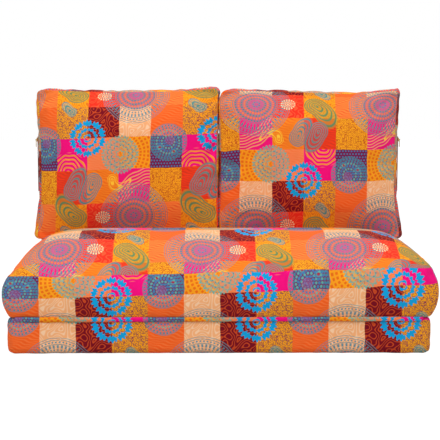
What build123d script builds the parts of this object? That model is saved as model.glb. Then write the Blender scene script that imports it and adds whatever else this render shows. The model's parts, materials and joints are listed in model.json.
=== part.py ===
"""Fold-out foam sofa bed with two back cushions, in millimetres.

The origin is the middle of the lower block's underside. +X points right as seen from the front, +Y
points to the backrest and +Z points up. The bed has three segments.
The lower block lies on the floor, the seat lies on it and turns over forwards about the front seam,
and the backrest stands behind on its own end and folds down backwards.
"""

from build123d import *
import os

os.makedirs("parts", exist_ok=True)

# The bed and its three foam segments
BED_WIDTH = 1200.0
SEGMENT_DEPTH = 700.0
BACK_HEIGHT = 590.0
FOAM_THICKNESS = 100.0
CLOTH = 2.0
CORE_CLEARANCE = 0.3
SLAB_CORNER = 25.0
SLAB_EDGE_ROUND = 15.0
SLAB_THICKNESS = FOAM_THICKNESS + 2 * CLOTH

# The seat: a puffy box cushion on the lower block
SEAT_GAP = 0.3
SEAT_SEAM_INSET = 5.0
SEAT_SEAM_WIDTH = BED_WIDTH - 2 * SEAT_SEAM_INSET
SEAT_SEAM_DEPTH = SEGMENT_DEPTH - 2 * SEAT_SEAM_INSET
SEAT_BAND = 130.0
SEAT_SIDE_BULGE = 18.0
SEAT_FRONT_BULGE = 10.0
SEAT_SIDE_BOW = 5.0
SEAT_CORNER = 25.0
SEAT_CROWN = 88.0
SEAT_BACK_FALL = 30.0
SEAT_FALL_LENGTH = 240.0
SHELF_RISE = 11.0
SHELF_DEPTH = 140.0
SHELF_SLOPE_RUN = 45.0

# The backrest and its cloth flap
BACK_GAP = 20.0
FLAP_THICKNESS = 1.5
FLAP_WIDTH = 1180.0
FLAP_CLEARANCE = 0.3

# The front seam, a sewn roll with a flat flange
HINGE_ROLL_RADIUS = 2.5
HINGE_STAND_OUT = 7.0
HINGE_FLANGE_THICKNESS = 2.0
HINGE_LENGTH = 1150.0

# The back cushions, which share the bed's width
CUSHION_SPACING = 8.0
CUSHION_WIDTH = (BED_WIDTH - CUSHION_SPACING) / 2
CUSHION_HEIGHT = 500.0
CUSHION_GUSSET = 70.0
CUSHION_CROWN = 38.0
CUSHION_DRAWN_IN = 8.0
CUSHION_CORNER = 10.0
CUSHION_BACK_CLEARANCE = 2.0
CUSHION_SEAT_CLEARANCE = 0.3

# The zips
ZIP_LENGTH = 260.0
CUSHION_ZIP_LENGTH = 180.0
ZIP_TAPE_WIDTH = 16.0
ZIP_TAPE_THICKNESS = 0.8
ZIP_COIL_WIDTH = 4.0
ZIP_COIL_HEIGHT = 1.2
ZIP_CLEARANCE = 0.2
SLIDER_LENGTH = 12.0
SLIDER_WIDTH = 9.0
SLIDER_THICKNESS = 2.0
SLIDER_END_SETBACK = 4.0
BAIL_RADIUS = 0.8
BAIL_HEIGHT = 2.2
BAIL_POST_LENGTH = 2.4
BAIL_POST_WIDTH = 1.5
PULL_LENGTH = 24.0
PULL_WIDTH = 5.0
PULL_THICKNESS = 1.6
PULL_EYE_CLEARANCE = 0.1
PULL_EYE_WALL = 1.0

# Shares that draw the crown: how far in, and how high, each ring of the dome lies
CROWN_INSET_SHARES = (0.0, 0.08, 0.2, 0.38, 0.6)
CROWN_POWER_SHARE = 2.2
CROWN_CORNER_SHARE = 0.5
# How high each ring of the seat's band lies, and how much of the bulge it has
BAND_RING_SHARES = ((0.0, 0.0), (0.5, 1.0), (1.0, 0.0))
OVERRUN = 5.0


def outline(width, depth, bow_side, bow_front, corner):
    """A closed outline whose four sides bow out, or draw in where the bow is negative."""
    w, d = width / 2, depth / 2
    edges = [
        ThreePointArc((-w, -d), (0, -d - bow_front), (w, -d)),
        ThreePointArc((w, -d), (w + bow_side, 0), (w, d)),
        ThreePointArc((w, d), (0, d + bow_front), (-w, d)),
        ThreePointArc((-w, d), (-w - bow_side, 0), (-w, -d)),
    ]
    face = make_face(edges)
    return fillet(face.vertices(), corner)


def plain_outline(width, depth, corner):
    """A straight-sided outline with round corners."""
    return RectangleRounded(width, depth, corner)


def dome(width, depth, rise, bow, corner, inset=0.0):
    """A crowned form on the plane Z = 0, with a flat middle. inset draws it in and lowers it alike."""
    last = CROWN_INSET_SHARES[-1]
    rings = []
    for share in CROWN_INSET_SHARES:
        step = inset + share * depth / 2
        high = rise * (1 - (1 - share / last) ** CROWN_POWER_SHARE) - inset
        ring = outline(
            width - 2 * step,
            depth - 2 * step,
            bow * (1 - share),
            bow * (1 - share),
            corner + step * CROWN_CORNER_SHARE,
        )
        rings.append(Pos(0, 0, high) * ring)
    return loft(rings)


def save(name, shape):
    """Writes one node, with its name on the shape."""
    shape.label = name
    export_step(shape, f"parts/{name}.step")
    print(name, "volume", round(shape.volume), "solids", len(shape.solids()))


def zip_set(length):
    """Tape, slider and pull of a zip along X, on the plane Z = 0, closed at its +X end.

    The slider straddles the coil. The pull's eye goes round the slider's bail, and lies towards -X.
    """
    tape = Pos(0, 0, ZIP_TAPE_THICKNESS / 2) * Box(length, ZIP_TAPE_WIDTH, ZIP_TAPE_THICKNESS)
    coil_middle = ZIP_TAPE_THICKNESS + ZIP_COIL_HEIGHT / 2
    tape += Pos(0, 0, coil_middle) * Box(length, ZIP_COIL_WIDTH, ZIP_COIL_HEIGHT)

    seat = ZIP_TAPE_THICKNESS + ZIP_CLEARANCE
    roof = ZIP_TAPE_THICKNESS + ZIP_COIL_HEIGHT + ZIP_CLEARANCE
    top = roof + SLIDER_THICKNESS
    middle = length / 2 - SLIDER_END_SETBACK - SLIDER_LENGTH / 2
    body = Pos(middle, 0, (seat + top) / 2) * Box(SLIDER_LENGTH, SLIDER_WIDTH, top - seat)
    groove_width = ZIP_COIL_WIDTH + 2 * ZIP_CLEARANCE
    body -= Pos(middle, 0, roof / 2) * Box(SLIDER_LENGTH + OVERRUN, groove_width, roof)
    bail_high = top + BAIL_HEIGHT
    post_place = SLIDER_WIDTH / 2 - BAIL_POST_WIDTH / 2
    post_height = BAIL_HEIGHT + BAIL_RADIUS
    for side in (-1, 1):
        post = Box(BAIL_POST_LENGTH, BAIL_POST_WIDTH, post_height)
        body += Pos(middle, side * post_place, top + post_height / 2) * post
    bail = Cylinder(BAIL_RADIUS, SLIDER_WIDTH - BAIL_POST_WIDTH, rotation=(90, 0, 0))
    body += Pos(middle, 0, bail_high) * bail

    eye_inner = BAIL_RADIUS + PULL_EYE_CLEARANCE
    eye_outer = eye_inner + PULL_EYE_WALL
    pull = Cylinder(eye_outer, PULL_WIDTH, rotation=(90, 0, 0))
    pull += Pos(-PULL_LENGTH / 2, 0, 0) * Box(PULL_LENGTH, PULL_WIDTH, PULL_THICKNESS)
    pull -= Cylinder(eye_inner, PULL_WIDTH + OVERRUN, rotation=(90, 0, 0))
    return tape, body, Pos(middle, 0, bail_high) * pull


def place_zip(prefix, length, location):
    """Writes a zip's three pieces at a place, and prints where its pull turns."""
    tape, slider, pull = (location * piece for piece in zip_set(length))
    save(f"{prefix}_zip_tape", tape)
    save(f"{prefix}_zip_slider", slider)
    save(f"{prefix}_zip_pull", pull)
    roof = ZIP_TAPE_THICKNESS + ZIP_COIL_HEIGHT + ZIP_CLEARANCE + SLIDER_THICKNESS
    bail = (length / 2 - SLIDER_END_SETBACK - SLIDER_LENGTH / 2, 0, roof + BAIL_HEIGHT)
    print(prefix, "bail at", (location * Pos(*bail)).position)


# Places that several pieces share
base_top = SLAB_THICKNESS
seat_floor = base_top + SEAT_GAP
seat_rim = seat_floor + SEAT_BAND
front_face = -SEGMENT_DEPTH / 2
rear_face = SEGMENT_DEPTH / 2
side_face = BED_WIDTH / 2
back_front = rear_face + BACK_GAP
back_middle = back_front + SLAB_THICKNESS / 2
hinge_y = front_face - HINGE_STAND_OUT
hinge_z = base_top + SEAT_GAP / 2
shelf_z = seat_rim + SHELF_RISE
shelf_front = SEAT_SEAM_DEPTH / 2 - SHELF_DEPTH
core_inset = CLOTH + CORE_CLEARANCE


def slab_shell(width, depth, edge_round):
    """The closed skin of a foam slab, and the room in it, both edges rounded by edge_round."""
    outer = extrude(plain_outline(width, depth, SLAB_CORNER), SLAB_THICKNESS)
    inner = extrude(
        plain_outline(width - 2 * CLOTH, depth - 2 * CLOTH, SLAB_CORNER - CLOTH),
        SLAB_THICKNESS - 2 * CLOTH,
    )
    outer = fillet(outer.faces().sort_by(Axis.Z)[0].edges(), edge_round)
    outer = fillet(outer.faces().sort_by(Axis.Z)[-1].edges(), edge_round)
    inner = fillet(inner.faces().sort_by(Axis.Z)[0].edges(), edge_round - CLOTH)
    inner = fillet(inner.faces().sort_by(Axis.Z)[-1].edges(), edge_round - CLOTH)
    return outer - Pos(0, 0, CLOTH) * inner


def slab_pieces(width, depth):
    """A foam slab's core and its cover as lower panel, border band and upper panel, lying on Z = 0."""
    shell = slab_shell(width, depth, SLAB_EDGE_ROUND)
    reach = Box(width + OVERRUN, depth + OVERRUN, SLAB_EDGE_ROUND)
    lower = shell & (Pos(0, 0, SLAB_EDGE_ROUND / 2) * reach)
    upper = shell & (Pos(0, 0, SLAB_THICKNESS - SLAB_EDGE_ROUND / 2) * reach)
    band_height = SLAB_THICKNESS - 2 * SLAB_EDGE_ROUND
    band = extrude(plain_outline(width, depth, SLAB_CORNER), band_height)
    room = plain_outline(width - 2 * CLOTH, depth - 2 * CLOTH, SLAB_CORNER - CLOTH)
    band = Pos(0, 0, SLAB_EDGE_ROUND) * (band - extrude(room, band_height))
    core = extrude(
        plain_outline(width - 2 * core_inset, depth - 2 * core_inset, SLAB_CORNER - core_inset),
        SLAB_THICKNESS - 2 * core_inset,
    )
    core = fillet(core.faces().sort_by(Axis.Z)[0].edges(), SLAB_EDGE_ROUND - CLOTH)
    core = fillet(core.faces().sort_by(Axis.Z)[-1].edges(), SLAB_EDGE_ROUND - CLOTH)
    return Pos(0, 0, core_inset) * core, lower, band, upper


def lower_block():
    """The lower block: foam core in a cover of two panels and a band, with a zip at its right end."""
    core, bottom, band, top = slab_pieces(BED_WIDTH, SEGMENT_DEPTH)
    save("base_foam_core", core)
    save("base_cover_bottom_panel", bottom)
    save("base_cover_band", band)
    save("base_cover_top_panel", top)
    side = Plane(origin=(side_face, 0, SLAB_THICKNESS / 2), x_dir=(0, 1, 0), z_dir=(1, 0, 0))
    place_zip("base", ZIP_LENGTH, side.location)


def seat_crown(inset=0.0):
    """The crowned top of the seat above its rim.

    Its back half falls gently, and behind that it is pressed down to a shelf for the cushions.
    """
    crown = dome(SEAT_SEAM_WIDTH, SEAT_SEAM_DEPTH, SEAT_CROWN, SEAT_SIDE_BOW, SEAT_CORNER, inset)
    slope_top = shelf_front - SHELF_SLOPE_RUN
    overrun_length = OVERRUN * SEAT_FALL_LENGTH / SEAT_BACK_FALL
    ceiling = SEAT_CROWN + OVERRUN - inset
    with BuildPart() as cutter:
        with BuildSketch(Plane.YZ):
            with BuildLine():
                Polyline(
                    (shelf_front, SHELF_RISE - inset),
                    (slope_top, SEAT_CROWN - SEAT_BACK_FALL - inset),
                    (slope_top - SEAT_FALL_LENGTH - overrun_length, ceiling),
                    (SEAT_SEAM_DEPTH, ceiling),
                    (SEAT_SEAM_DEPTH, SHELF_RISE - inset),
                    close=True,
                )
            make_face()
        extrude(amount=BED_WIDTH / 2 + OVERRUN, both=True)
    return crown - Pos(0, -inset, 0) * cutter.part


def seat_band_form(inset, start, end):
    """The seat's border band as a solid whose sides bulge between the two seams."""
    rings = []
    height = end - start
    for share, bulge in BAND_RING_SHARES:
        ring = outline(
            SEAT_SEAM_WIDTH + 2 * (SEAT_SIDE_BULGE * bulge - inset),
            SEAT_SEAM_DEPTH + 2 * (SEAT_FRONT_BULGE * bulge - inset),
            SEAT_SIDE_BOW,
            SEAT_SIDE_BOW,
            SEAT_CORNER - inset,
        )
        rings.append(Pos(0, 0, start + share * height) * ring)
    return loft(rings)


def seat_block():
    """The seat: foam slab, wadding and a box cover with a crowned top."""
    seam = outline(
        SEAT_SEAM_WIDTH, SEAT_SEAM_DEPTH, SEAT_SIDE_BOW, SEAT_SIDE_BOW, SEAT_CORNER
    )
    bottom = Pos(0, 0, seat_floor) * extrude(seam, CLOTH)
    save("seat_cover_bottom_panel", bottom)

    band_start, band_end = seat_floor + CLOTH, seat_rim
    band = seat_band_form(0.0, band_start, band_end)
    band -= seat_band_form(CLOTH, band_start, band_end)
    save("seat_cover_band", band)

    top = seat_crown() - seat_crown(CLOTH)
    save("seat_cover_top_panel", Pos(0, 0, seat_rim) * top)

    core_floor = band_start + CORE_CLEARANCE
    core_side = 2 * (core_inset + SEAT_SIDE_BOW)
    core = extrude(
        plain_outline(SEAT_SEAM_WIDTH - core_side, SEAT_SEAM_DEPTH - core_side, SEAT_CORNER),
        FOAM_THICKNESS,
    )
    save("seat_foam_core", Pos(0, 0, core_floor) * core)

    wadding_floor = core_floor + FOAM_THICKNESS + CORE_CLEARANCE - seat_rim
    wadding = seat_crown(core_inset)
    skirt = outline(
        SEAT_SEAM_WIDTH - 2 * core_inset,
        SEAT_SEAM_DEPTH - 2 * core_inset,
        SEAT_SIDE_BOW,
        SEAT_SIDE_BOW,
        SEAT_CORNER + core_inset * CROWN_CORNER_SHARE,
    )
    wadding += Pos(0, 0, wadding_floor) * extrude(skirt, -core_inset - wadding_floor)
    save("seat_fibre_wadding", Pos(0, 0, seat_rim) * wadding)

    zip_x = SEAT_SEAM_WIDTH / 2 + SEAT_SIDE_BULGE + SEAT_SIDE_BOW
    zip_z = (band_start + band_end) / 2
    side = Plane(origin=(zip_x, 0, zip_z), x_dir=(0, 1, 0), z_dir=(1, 0, 0))
    place_zip("seat", ZIP_LENGTH, side.location)


def backrest():
    """The backrest: a foam slab that stands on its own end behind the lower block."""
    pieces = slab_pieces(BED_WIDTH, BACK_HEIGHT)
    names = ("back_foam_core", "back_cover_front_panel", "back_cover_band", "back_cover_rear_panel")
    upright = Plane(
        origin=(0, back_front, BACK_HEIGHT / 2), x_dir=(-1, 0, 0), z_dir=(0, 1, 0)
    ).location
    for name, piece in zip(names, pieces):
        save(name, upright * piece)
    side = Plane(
        origin=(side_face, back_middle, BACK_HEIGHT / 2), x_dir=(0, 0, 1), z_dir=(1, 0, 0)
    )
    place_zip("back", ZIP_LENGTH, side.location)


def hinges():
    """The sewn roll at the front seam and the cloth flap behind the lower block."""
    roll = Pos(0, hinge_y, hinge_z) * Cylinder(HINGE_ROLL_RADIUS, HINGE_LENGTH, rotation=(0, 90, 0))
    flange_top = base_top - SLAB_EDGE_ROUND
    drop = hinge_z - flange_top
    web = Box(HINGE_LENGTH, HINGE_FLANGE_THICKNESS, drop)
    roll += Pos(0, hinge_y, hinge_z - drop / 2) * web
    foot = Box(HINGE_LENGTH, HINGE_STAND_OUT + HINGE_FLANGE_THICKNESS / 2, HINGE_FLANGE_THICKNESS)
    foot_y = front_face - (HINGE_STAND_OUT + HINGE_FLANGE_THICKNESS / 2) / 2
    roll += Pos(0, foot_y, flange_top - HINGE_FLANGE_THICKNESS / 2) * foot
    save("front_hinge_strip", roll)

    flap_top = SLAB_THICKNESS - SLAB_EDGE_ROUND
    flap_bottom = SLAB_EDGE_ROUND
    flap_height = flap_top - flap_bottom
    flap = Box(FLAP_WIDTH, FLAP_THICKNESS, flap_height)
    flap_y = rear_face + FLAP_THICKNESS / 2
    flap = Pos(0, flap_y, flap_bottom + flap_height / 2) * flap
    tail_length = BACK_GAP - FLAP_CLEARANCE
    tail = Box(FLAP_WIDTH, tail_length, FLAP_THICKNESS)
    flap += Pos(0, rear_face + tail_length / 2, flap_bottom + FLAP_THICKNESS / 2) * tail
    save("rear_hinge_flap", flap)


def cushion(prefix, side):
    """One back cushion, made lying down and stood up, with its zip on its outer side."""
    drawn = -CUSHION_DRAWN_IN
    face = outline(CUSHION_WIDTH, CUSHION_HEIGHT, drawn, drawn, CUSHION_CORNER)
    room = outline(
        CUSHION_WIDTH - 2 * CLOTH, CUSHION_HEIGHT - 2 * CLOTH, drawn, drawn, CUSHION_CORNER - CLOTH
    )
    gusset = extrude(face, CUSHION_GUSSET / 2, both=True)
    gusset -= extrude(room, CUSHION_GUSSET / 2, both=True)

    def panel(inset):
        return dome(CUSHION_WIDTH, CUSHION_HEIGHT, CUSHION_CROWN, drawn, CUSHION_CORNER, inset)

    half = Pos(0, 0, CUSHION_GUSSET / 2)
    front = half * (panel(0.0) - panel(CLOTH))
    filling = half * panel(core_inset)
    inner = outline(
        CUSHION_WIDTH - 2 * core_inset,
        CUSHION_HEIGHT - 2 * core_inset,
        drawn,
        drawn,
        CUSHION_CORNER + core_inset * CROWN_CORNER_SHARE,
    )
    middle = extrude(inner, CUSHION_GUSSET / 2 - core_inset, both=True)
    turn = Rot(0, 180, 0)
    fill = middle + filling + turn * filling

    middle_x = side * (CUSHION_WIDTH + CUSHION_SPACING) / 2
    middle_y = back_front - CUSHION_BACK_CLEARANCE - CUSHION_CROWN - CUSHION_GUSSET / 2
    middle_z = shelf_z + CUSHION_SEAT_CLEARANCE + CUSHION_HEIGHT / 2
    upright = Plane(
        origin=(middle_x, middle_y, middle_z), x_dir=(1, 0, 0), z_dir=(0, -1, 0)
    ).location
    save(f"{prefix}_cushion_fill", upright * fill)
    save(f"{prefix}_cushion_front_panel", upright * front)
    save(f"{prefix}_cushion_gusset", upright * gusset)
    save(f"{prefix}_cushion_back_panel", upright * (turn * front))

    end_sag = CUSHION_DRAWN_IN * (CUSHION_ZIP_LENGTH / CUSHION_HEIGHT) ** 2
    zip_x = middle_x + side * (CUSHION_WIDTH / 2 - CUSHION_DRAWN_IN + end_sag)
    zip_side = Plane(
        origin=(zip_x, middle_y, middle_z), x_dir=(0, 0, 1), z_dir=(side, 0, 0)
    )
    place_zip(f"{prefix}_cushion", CUSHION_ZIP_LENGTH, zip_side.location)


lower_block()
seat_block()
backrest()
hinges()
cushion("left", -1)
cushion("right", 1)
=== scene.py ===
"""Looks of a fold-out foam sofa bed with two loose back cushions, in metres.

The three foam segments and the two cushions wear covers of one printed patchwork cotton. Each cover
is a grid of points worked out from the frame's boxes, puffed up as cloth and then gathered along its
seams. The print is drawn by the material from each cover's own map, which counts in patches.
"""

import json
import logging
import math
from dataclasses import dataclass, field, replace
from enum import Enum
from typing import ClassVar

import bmesh
import bpy
import numpy as np
from mathutils import Matrix, Vector

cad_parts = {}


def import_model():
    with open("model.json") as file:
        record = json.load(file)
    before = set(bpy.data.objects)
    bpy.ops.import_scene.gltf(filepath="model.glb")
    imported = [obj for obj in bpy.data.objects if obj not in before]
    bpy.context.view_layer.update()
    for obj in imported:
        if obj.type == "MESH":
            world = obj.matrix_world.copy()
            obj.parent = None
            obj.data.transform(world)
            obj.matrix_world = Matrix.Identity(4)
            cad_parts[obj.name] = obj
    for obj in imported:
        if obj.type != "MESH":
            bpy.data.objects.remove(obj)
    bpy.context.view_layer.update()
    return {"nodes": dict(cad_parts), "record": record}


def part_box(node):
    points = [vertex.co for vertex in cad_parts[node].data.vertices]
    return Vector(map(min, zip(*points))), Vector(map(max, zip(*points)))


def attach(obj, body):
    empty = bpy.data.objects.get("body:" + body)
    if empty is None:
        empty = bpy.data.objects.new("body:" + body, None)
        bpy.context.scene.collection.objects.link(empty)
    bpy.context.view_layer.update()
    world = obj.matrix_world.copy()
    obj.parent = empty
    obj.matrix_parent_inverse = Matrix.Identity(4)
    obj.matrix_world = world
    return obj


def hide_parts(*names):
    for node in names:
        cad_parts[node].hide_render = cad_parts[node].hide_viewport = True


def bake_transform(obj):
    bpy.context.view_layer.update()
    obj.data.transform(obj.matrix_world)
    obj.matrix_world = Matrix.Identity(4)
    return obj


LOG = logging.getLogger("sofa_bed")
TAU = 2 * math.pi
MM = 0.001
PATCH = 101.9 * MM
PATCHES_IN_REPEAT = 4
COLUMN_EDGE = -302.8 * MM
WHITE = (1.0, 1.0, 1.0, 1.0)
ANYWHERE = 9.0
FACING_DOWN = -0.97


def paint(code: str) -> tuple[float, float, float, float]:
    """A colour as the shader takes it.

    Args:
        code: The colour as it looks, in six hexadecimal digits.

    Returns:
        Its linear red, green and blue, and an opacity of 1.
    """
    seen = np.array([int(code[i : i + 2], 16) for i in (0, 2, 4)]) / 255
    linear = np.where(seen <= 0.04045, seen / 12.92, ((seen + 0.055) / 1.055) ** 2.4)
    return (*linear.tolist(), 1.0)


class Term:
    """An output in a node tree that adds, multiplies and compares by making Math nodes."""

    def __init__(self, graph: "Graph", socket: bpy.types.NodeSocket) -> None:
        """Holds the output and the graph that it is in."""
        self.graph = graph
        self.socket = socket

    def __add__(self, other: "Term | float") -> "Term":
        """The sum."""
        return self.graph.math("ADD", self, other)

    def __sub__(self, other: "Term | float") -> "Term":
        """The difference."""
        return self.graph.math("SUBTRACT", self, other)

    def __mul__(self, other: "Term | float") -> "Term":
        """The product."""
        return self.graph.math("MULTIPLY", self, other)

    def __truediv__(self, other: "Term | float") -> "Term":
        """The quotient."""
        return self.graph.math("DIVIDE", self, other)

    def frac(self) -> "Term":
        """What is left above the whole number below."""
        return self.graph.math("FRACT", self)

    def floor(self) -> "Term":
        """The whole number below."""
        return self.graph.math("FLOOR", self)

    def abs(self) -> "Term":
        """The size without the sign."""
        return self.graph.math("ABSOLUTE", self)

    def sine(self) -> "Term":
        """The sine of a count of whole turns."""
        return self.graph.math("SINE", self * TAU)

    def power(self, exponent: float) -> "Term":
        """The value raised to a power."""
        return self.graph.math("POWER", self, exponent)

    def wrap(self, low: float, high: float) -> "Term":
        """The value brought into a span by whole spans."""
        return self.graph.math("WRAP", self, high, low)

    def ramp(self, zero: float, one: float) -> "Term":
        """0 at one value and 1 at another, straight between them and level past them.

        Args:
            zero: The value that gives 0.
            one: The value that gives 1.

        Returns:
            The share between them.
        """
        node = self.graph.node("ShaderNodeMapRange", clamp=True)
        for socket, value in zip(node.inputs, (self, zero, one, 0.0, 1.0)):
            self.graph.feed(socket, value)
        return Term(self.graph, node.outputs[0])

    def under(self, edge: float, soft: float) -> "Term":
        """1 below an edge and 0 above it, with a soft step between."""
        return self.ramp(edge + soft / 2, edge - soft / 2)


class Graph:
    """A node tree, written as sums: each method adds a node and gives back its output."""

    def __init__(self, owner: bpy.types.Material | bpy.types.World) -> None:
        """Starts with an empty tree.

        Args:
            owner: The material or world whose tree it is.
        """
        owner.use_nodes = True
        self.tree = owner.node_tree
        self.tree.nodes.clear()

    def node(self, kind: str, **settings: object) -> bpy.types.Node:
        """A new node of that kind with its settings made.

        Args:
            kind: The node's type.
            settings: What is set on it, by name.

        Returns:
            The node.
        """
        node = self.tree.nodes.new(kind)
        for key, value in settings.items():
            setattr(node, key, value)
        return node

    def feed(self, socket: bpy.types.NodeSocket, value: object) -> None:
        """Links a Term to a socket, or writes a plain value on it.

        Args:
            socket: The input.
            value: A Term or a plain value.
        """
        if isinstance(value, Term):
            self.tree.links.new(value.socket, socket)
        else:
            socket.default_value = value

    def math(self, operation: str, *values: "Term | float") -> Term:
        """One Math node.

        Args:
            operation: What the node does.
            values: Its inputs, in order.

        Returns:
            Its output.
        """
        node = self.node("ShaderNodeMath", operation=operation)
        for socket, value in zip(node.inputs, values):
            self.feed(socket, value)
        return Term(self, node.outputs[0])

    def length(self, x: Term, y: Term) -> Term:
        """The length of a flat step."""
        return self.math("SQRT", x * x + y * y)

    def vector(self, x: "Term | float", y: "Term | float" = 0.0, z: "Term | float" = 0.0) -> Term:
        """Three values as one vector.

        Args:
            x: The first value.
            y: The second.
            z: The third.

        Returns:
            The vector.
        """
        node = self.node("ShaderNodeCombineXYZ")
        for socket, value in zip(node.inputs, (x, y, z)):
            self.feed(socket, value)
        return Term(self, node.outputs[0])

    def parts(self, vector: Term) -> tuple[Term, Term, Term]:
        """The three values of a vector.

        Args:
            vector: The vector.

        Returns:
            Its three values.
        """
        node = self.node("ShaderNodeSeparateXYZ")
        self.feed(node.inputs[0], vector)
        return tuple(Term(self, out) for out in node.outputs)

    def dot(self, a: Term, b: Term) -> Term:
        """The dot product of two vectors.

        Args:
            a: One vector.
            b: The other vector.

        Returns:
            Their dot product.
        """
        node = self.node("ShaderNodeVectorMath", operation="DOT_PRODUCT")
        self.feed(node.inputs[0], a)
        self.feed(node.inputs[1], b)
        return Term(self, node.outputs["Value"])

    def mix(self, under: object, over: object, share: "Term | float") -> Term:
        """One colour laid over another by a share.

        Args:
            under: The colour below.
            over: The colour laid on it.
            share: How much of that one shows, from 0 to 1.

        Returns:
            The mixed colour.
        """
        node = self.node("ShaderNodeMix", data_type="RGBA")
        self.feed(node.inputs[0], share)
        self.feed(node.inputs[6], under)
        self.feed(node.inputs[7], over)
        return Term(self, node.outputs[2])

    def table(self, position: Term, colours: list[tuple[float, ...]]) -> Term:
        """A row of equal steps, each with its own colour, read at a position from 0 to 1.

        Args:
            position: Where the row is read, from 0 to 1.
            colours: The steps' colours.

        Returns:
            The colour there.
        """
        node = self.node("ShaderNodeValToRGB")
        ramp = node.color_ramp
        ramp.interpolation = "CONSTANT"
        ramp.elements[1].position = 1.0
        for index, colour in enumerate(colours):
            step = ramp.elements[0] if index == 0 else ramp.elements.new(index / len(colours))
            step.color = (*colour[:3], 1.0)
        ramp.elements[len(colours)].color = (*colours[-1][:3], 1.0)
        self.feed(node.inputs[0], position)
        return Term(self, node.outputs[0])

    def noise(self, vector: Term, scale: float, detail: float = 2.0) -> Term:
        """Smooth noise about a half.

        Args:
            vector: The place.
            scale: How fine the noise is.
            detail: How many finer layers it has.

        Returns:
            The noise, from 0 to 1.
        """
        node = self.node("ShaderNodeTexNoise", noise_dimensions="3D")
        self.feed(node.inputs["Vector"], vector)
        node.inputs["Scale"].default_value = scale
        node.inputs["Detail"].default_value = detail
        return Term(self, node.outputs[0])

    def texture_map(self, output: str) -> Term:
        """The piece's own map, or its Object coordinates."""
        return Term(self, self.node("ShaderNodeTexCoord").outputs[output])

    def attribute(self, name: str) -> Term:
        """A number kept at each point of the mesh."""
        node = self.node("ShaderNodeAttribute", attribute_name=name)
        return Term(self, node.outputs["Fac"])

    def bump(self, height: Term, distance: float, strength: float) -> Term:
        """A normal that shows a height of so many metres.

        Args:
            height: The height.
            distance: How many metres a height of 1 is.
            strength: How strongly it shows.

        Returns:
            The normal.
        """
        node = self.node("ShaderNodeBump")
        node.inputs["Strength"].default_value = strength
        node.inputs["Distance"].default_value = distance
        self.feed(node.inputs["Height"], height)
        return Term(self, node.outputs[0])

    def surface(self, colour: object, normal: object = None, **constants: float) -> None:
        """The shader and the output, with plain values on the shader's own sockets.

        Args:
            colour: The base colour.
            normal: The normal, where the surface has relief.
            constants: The other values, by socket, in small letters.
        """
        shader = self.node("ShaderNodeBsdfPrincipled")
        self.feed(shader.inputs["Base Color"], colour)
        for name, value in constants.items():
            socket = name.replace("_", " ").title().replace("Ior", "IOR")
            self.feed(shader.inputs[socket], value)
        if normal is not None:
            self.feed(shader.inputs["Normal"], normal)
        self.output(Term(self, shader.outputs[0]))

    def plain_shader(self, kind: str, **values: object) -> Term:
        """A shader of that kind, with plain values on its sockets.

        Args:
            kind: The shader's type.
            values: Its plain values, by socket.

        Returns:
            The shader.
        """
        node = self.node(kind)
        for name, value in values.items():
            self.feed(node.inputs[name], value)
        return Term(self, node.outputs[0])

    def either(self, first: Term, second: Term, share: Term) -> Term:
        """Two shaders mixed: the second has the share.

        Args:
            first: What shows at a share of 0.
            second: What shows at a share of 1.
            share: The share.

        Returns:
            The mixed shader.
        """
        node = self.node("ShaderNodeMixShader")
        for socket, value in zip(node.inputs, (share, first, second)):
            self.feed(socket, value)
        return Term(self, node.outputs[0])

    def output(self, shader: Term, kind: str = "ShaderNodeOutputMaterial") -> None:
        """The tree's output, fed with a shader."""
        self.feed(self.node(kind).inputs["Surface"], shader)


def new_material(name: str) -> tuple[bpy.types.Material, Graph]:
    """A new material and its empty node tree."""
    material = bpy.data.materials.new(name)
    return material, Graph(material)


class Motif(Enum):
    """What is drawn inside one patch of the print."""

    ARCS = "arcs"
    WAVES = "waves"
    VERMICELLI = "vermicelli"
    MAZE = "maze"
    RAYS = "rays"
    STRIPES = "stripes"
    DOTS = "dots"


@dataclass(frozen=True)
class Patch:
    """One square of the print: its ground, its ink and what the ink draws."""

    ground: str
    ink: str
    motif: Motif


@dataclass(frozen=True)
class Band:
    """A ring about a centre, laid on with a strength and cut into so many dashes."""

    inner: float
    outer: float
    colour: str
    strength: float = 0.85
    cuts: int = 0


@dataclass(frozen=True)
class Beads:
    """Round dots spaced evenly on a circle."""

    radius: float
    count: int
    size: float
    colour: str
    strength: float = 0.9


@dataclass(frozen=True)
class Petals:
    """A line that swings out and back round a centre, as petals or waves."""

    radius: float
    swing: float
    count: int
    width: float
    colour: str
    strength: float = 0.85


@dataclass(frozen=True)
class Leaves:
    """A wreath of toothed clusters: each is a lens, and a higher fullness closes the gaps."""

    radius: float
    width: float
    clusters: int
    teeth: int
    fullness: float
    colour: str
    strength: float = 1.0


@dataclass(frozen=True)
class Medallion:
    """Rings, beads and petals about one centre, in patches across and down the repeat."""

    centre: tuple[float, float]
    marks: tuple[Band | Beads | Petals | Leaves, ...]


@dataclass(frozen=True)
class Paisley:
    """A drop with a bent tip, drawn as contours about its eye."""

    centre: tuple[float, float]
    tip: tuple[float, float]
    body: float
    curl: float
    fill: str
    line: str
    fill_strength: float = 0.3
    contours: float = 6.0


@dataclass(frozen=True)
class Patchwork:
    """The repeat of the print: four by four patches, with medallions and paisleys across them."""

    patches: tuple[tuple[Patch, ...], ...]
    paisleys: tuple[Paisley, ...]
    medallions: tuple[Medallion, ...]


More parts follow.
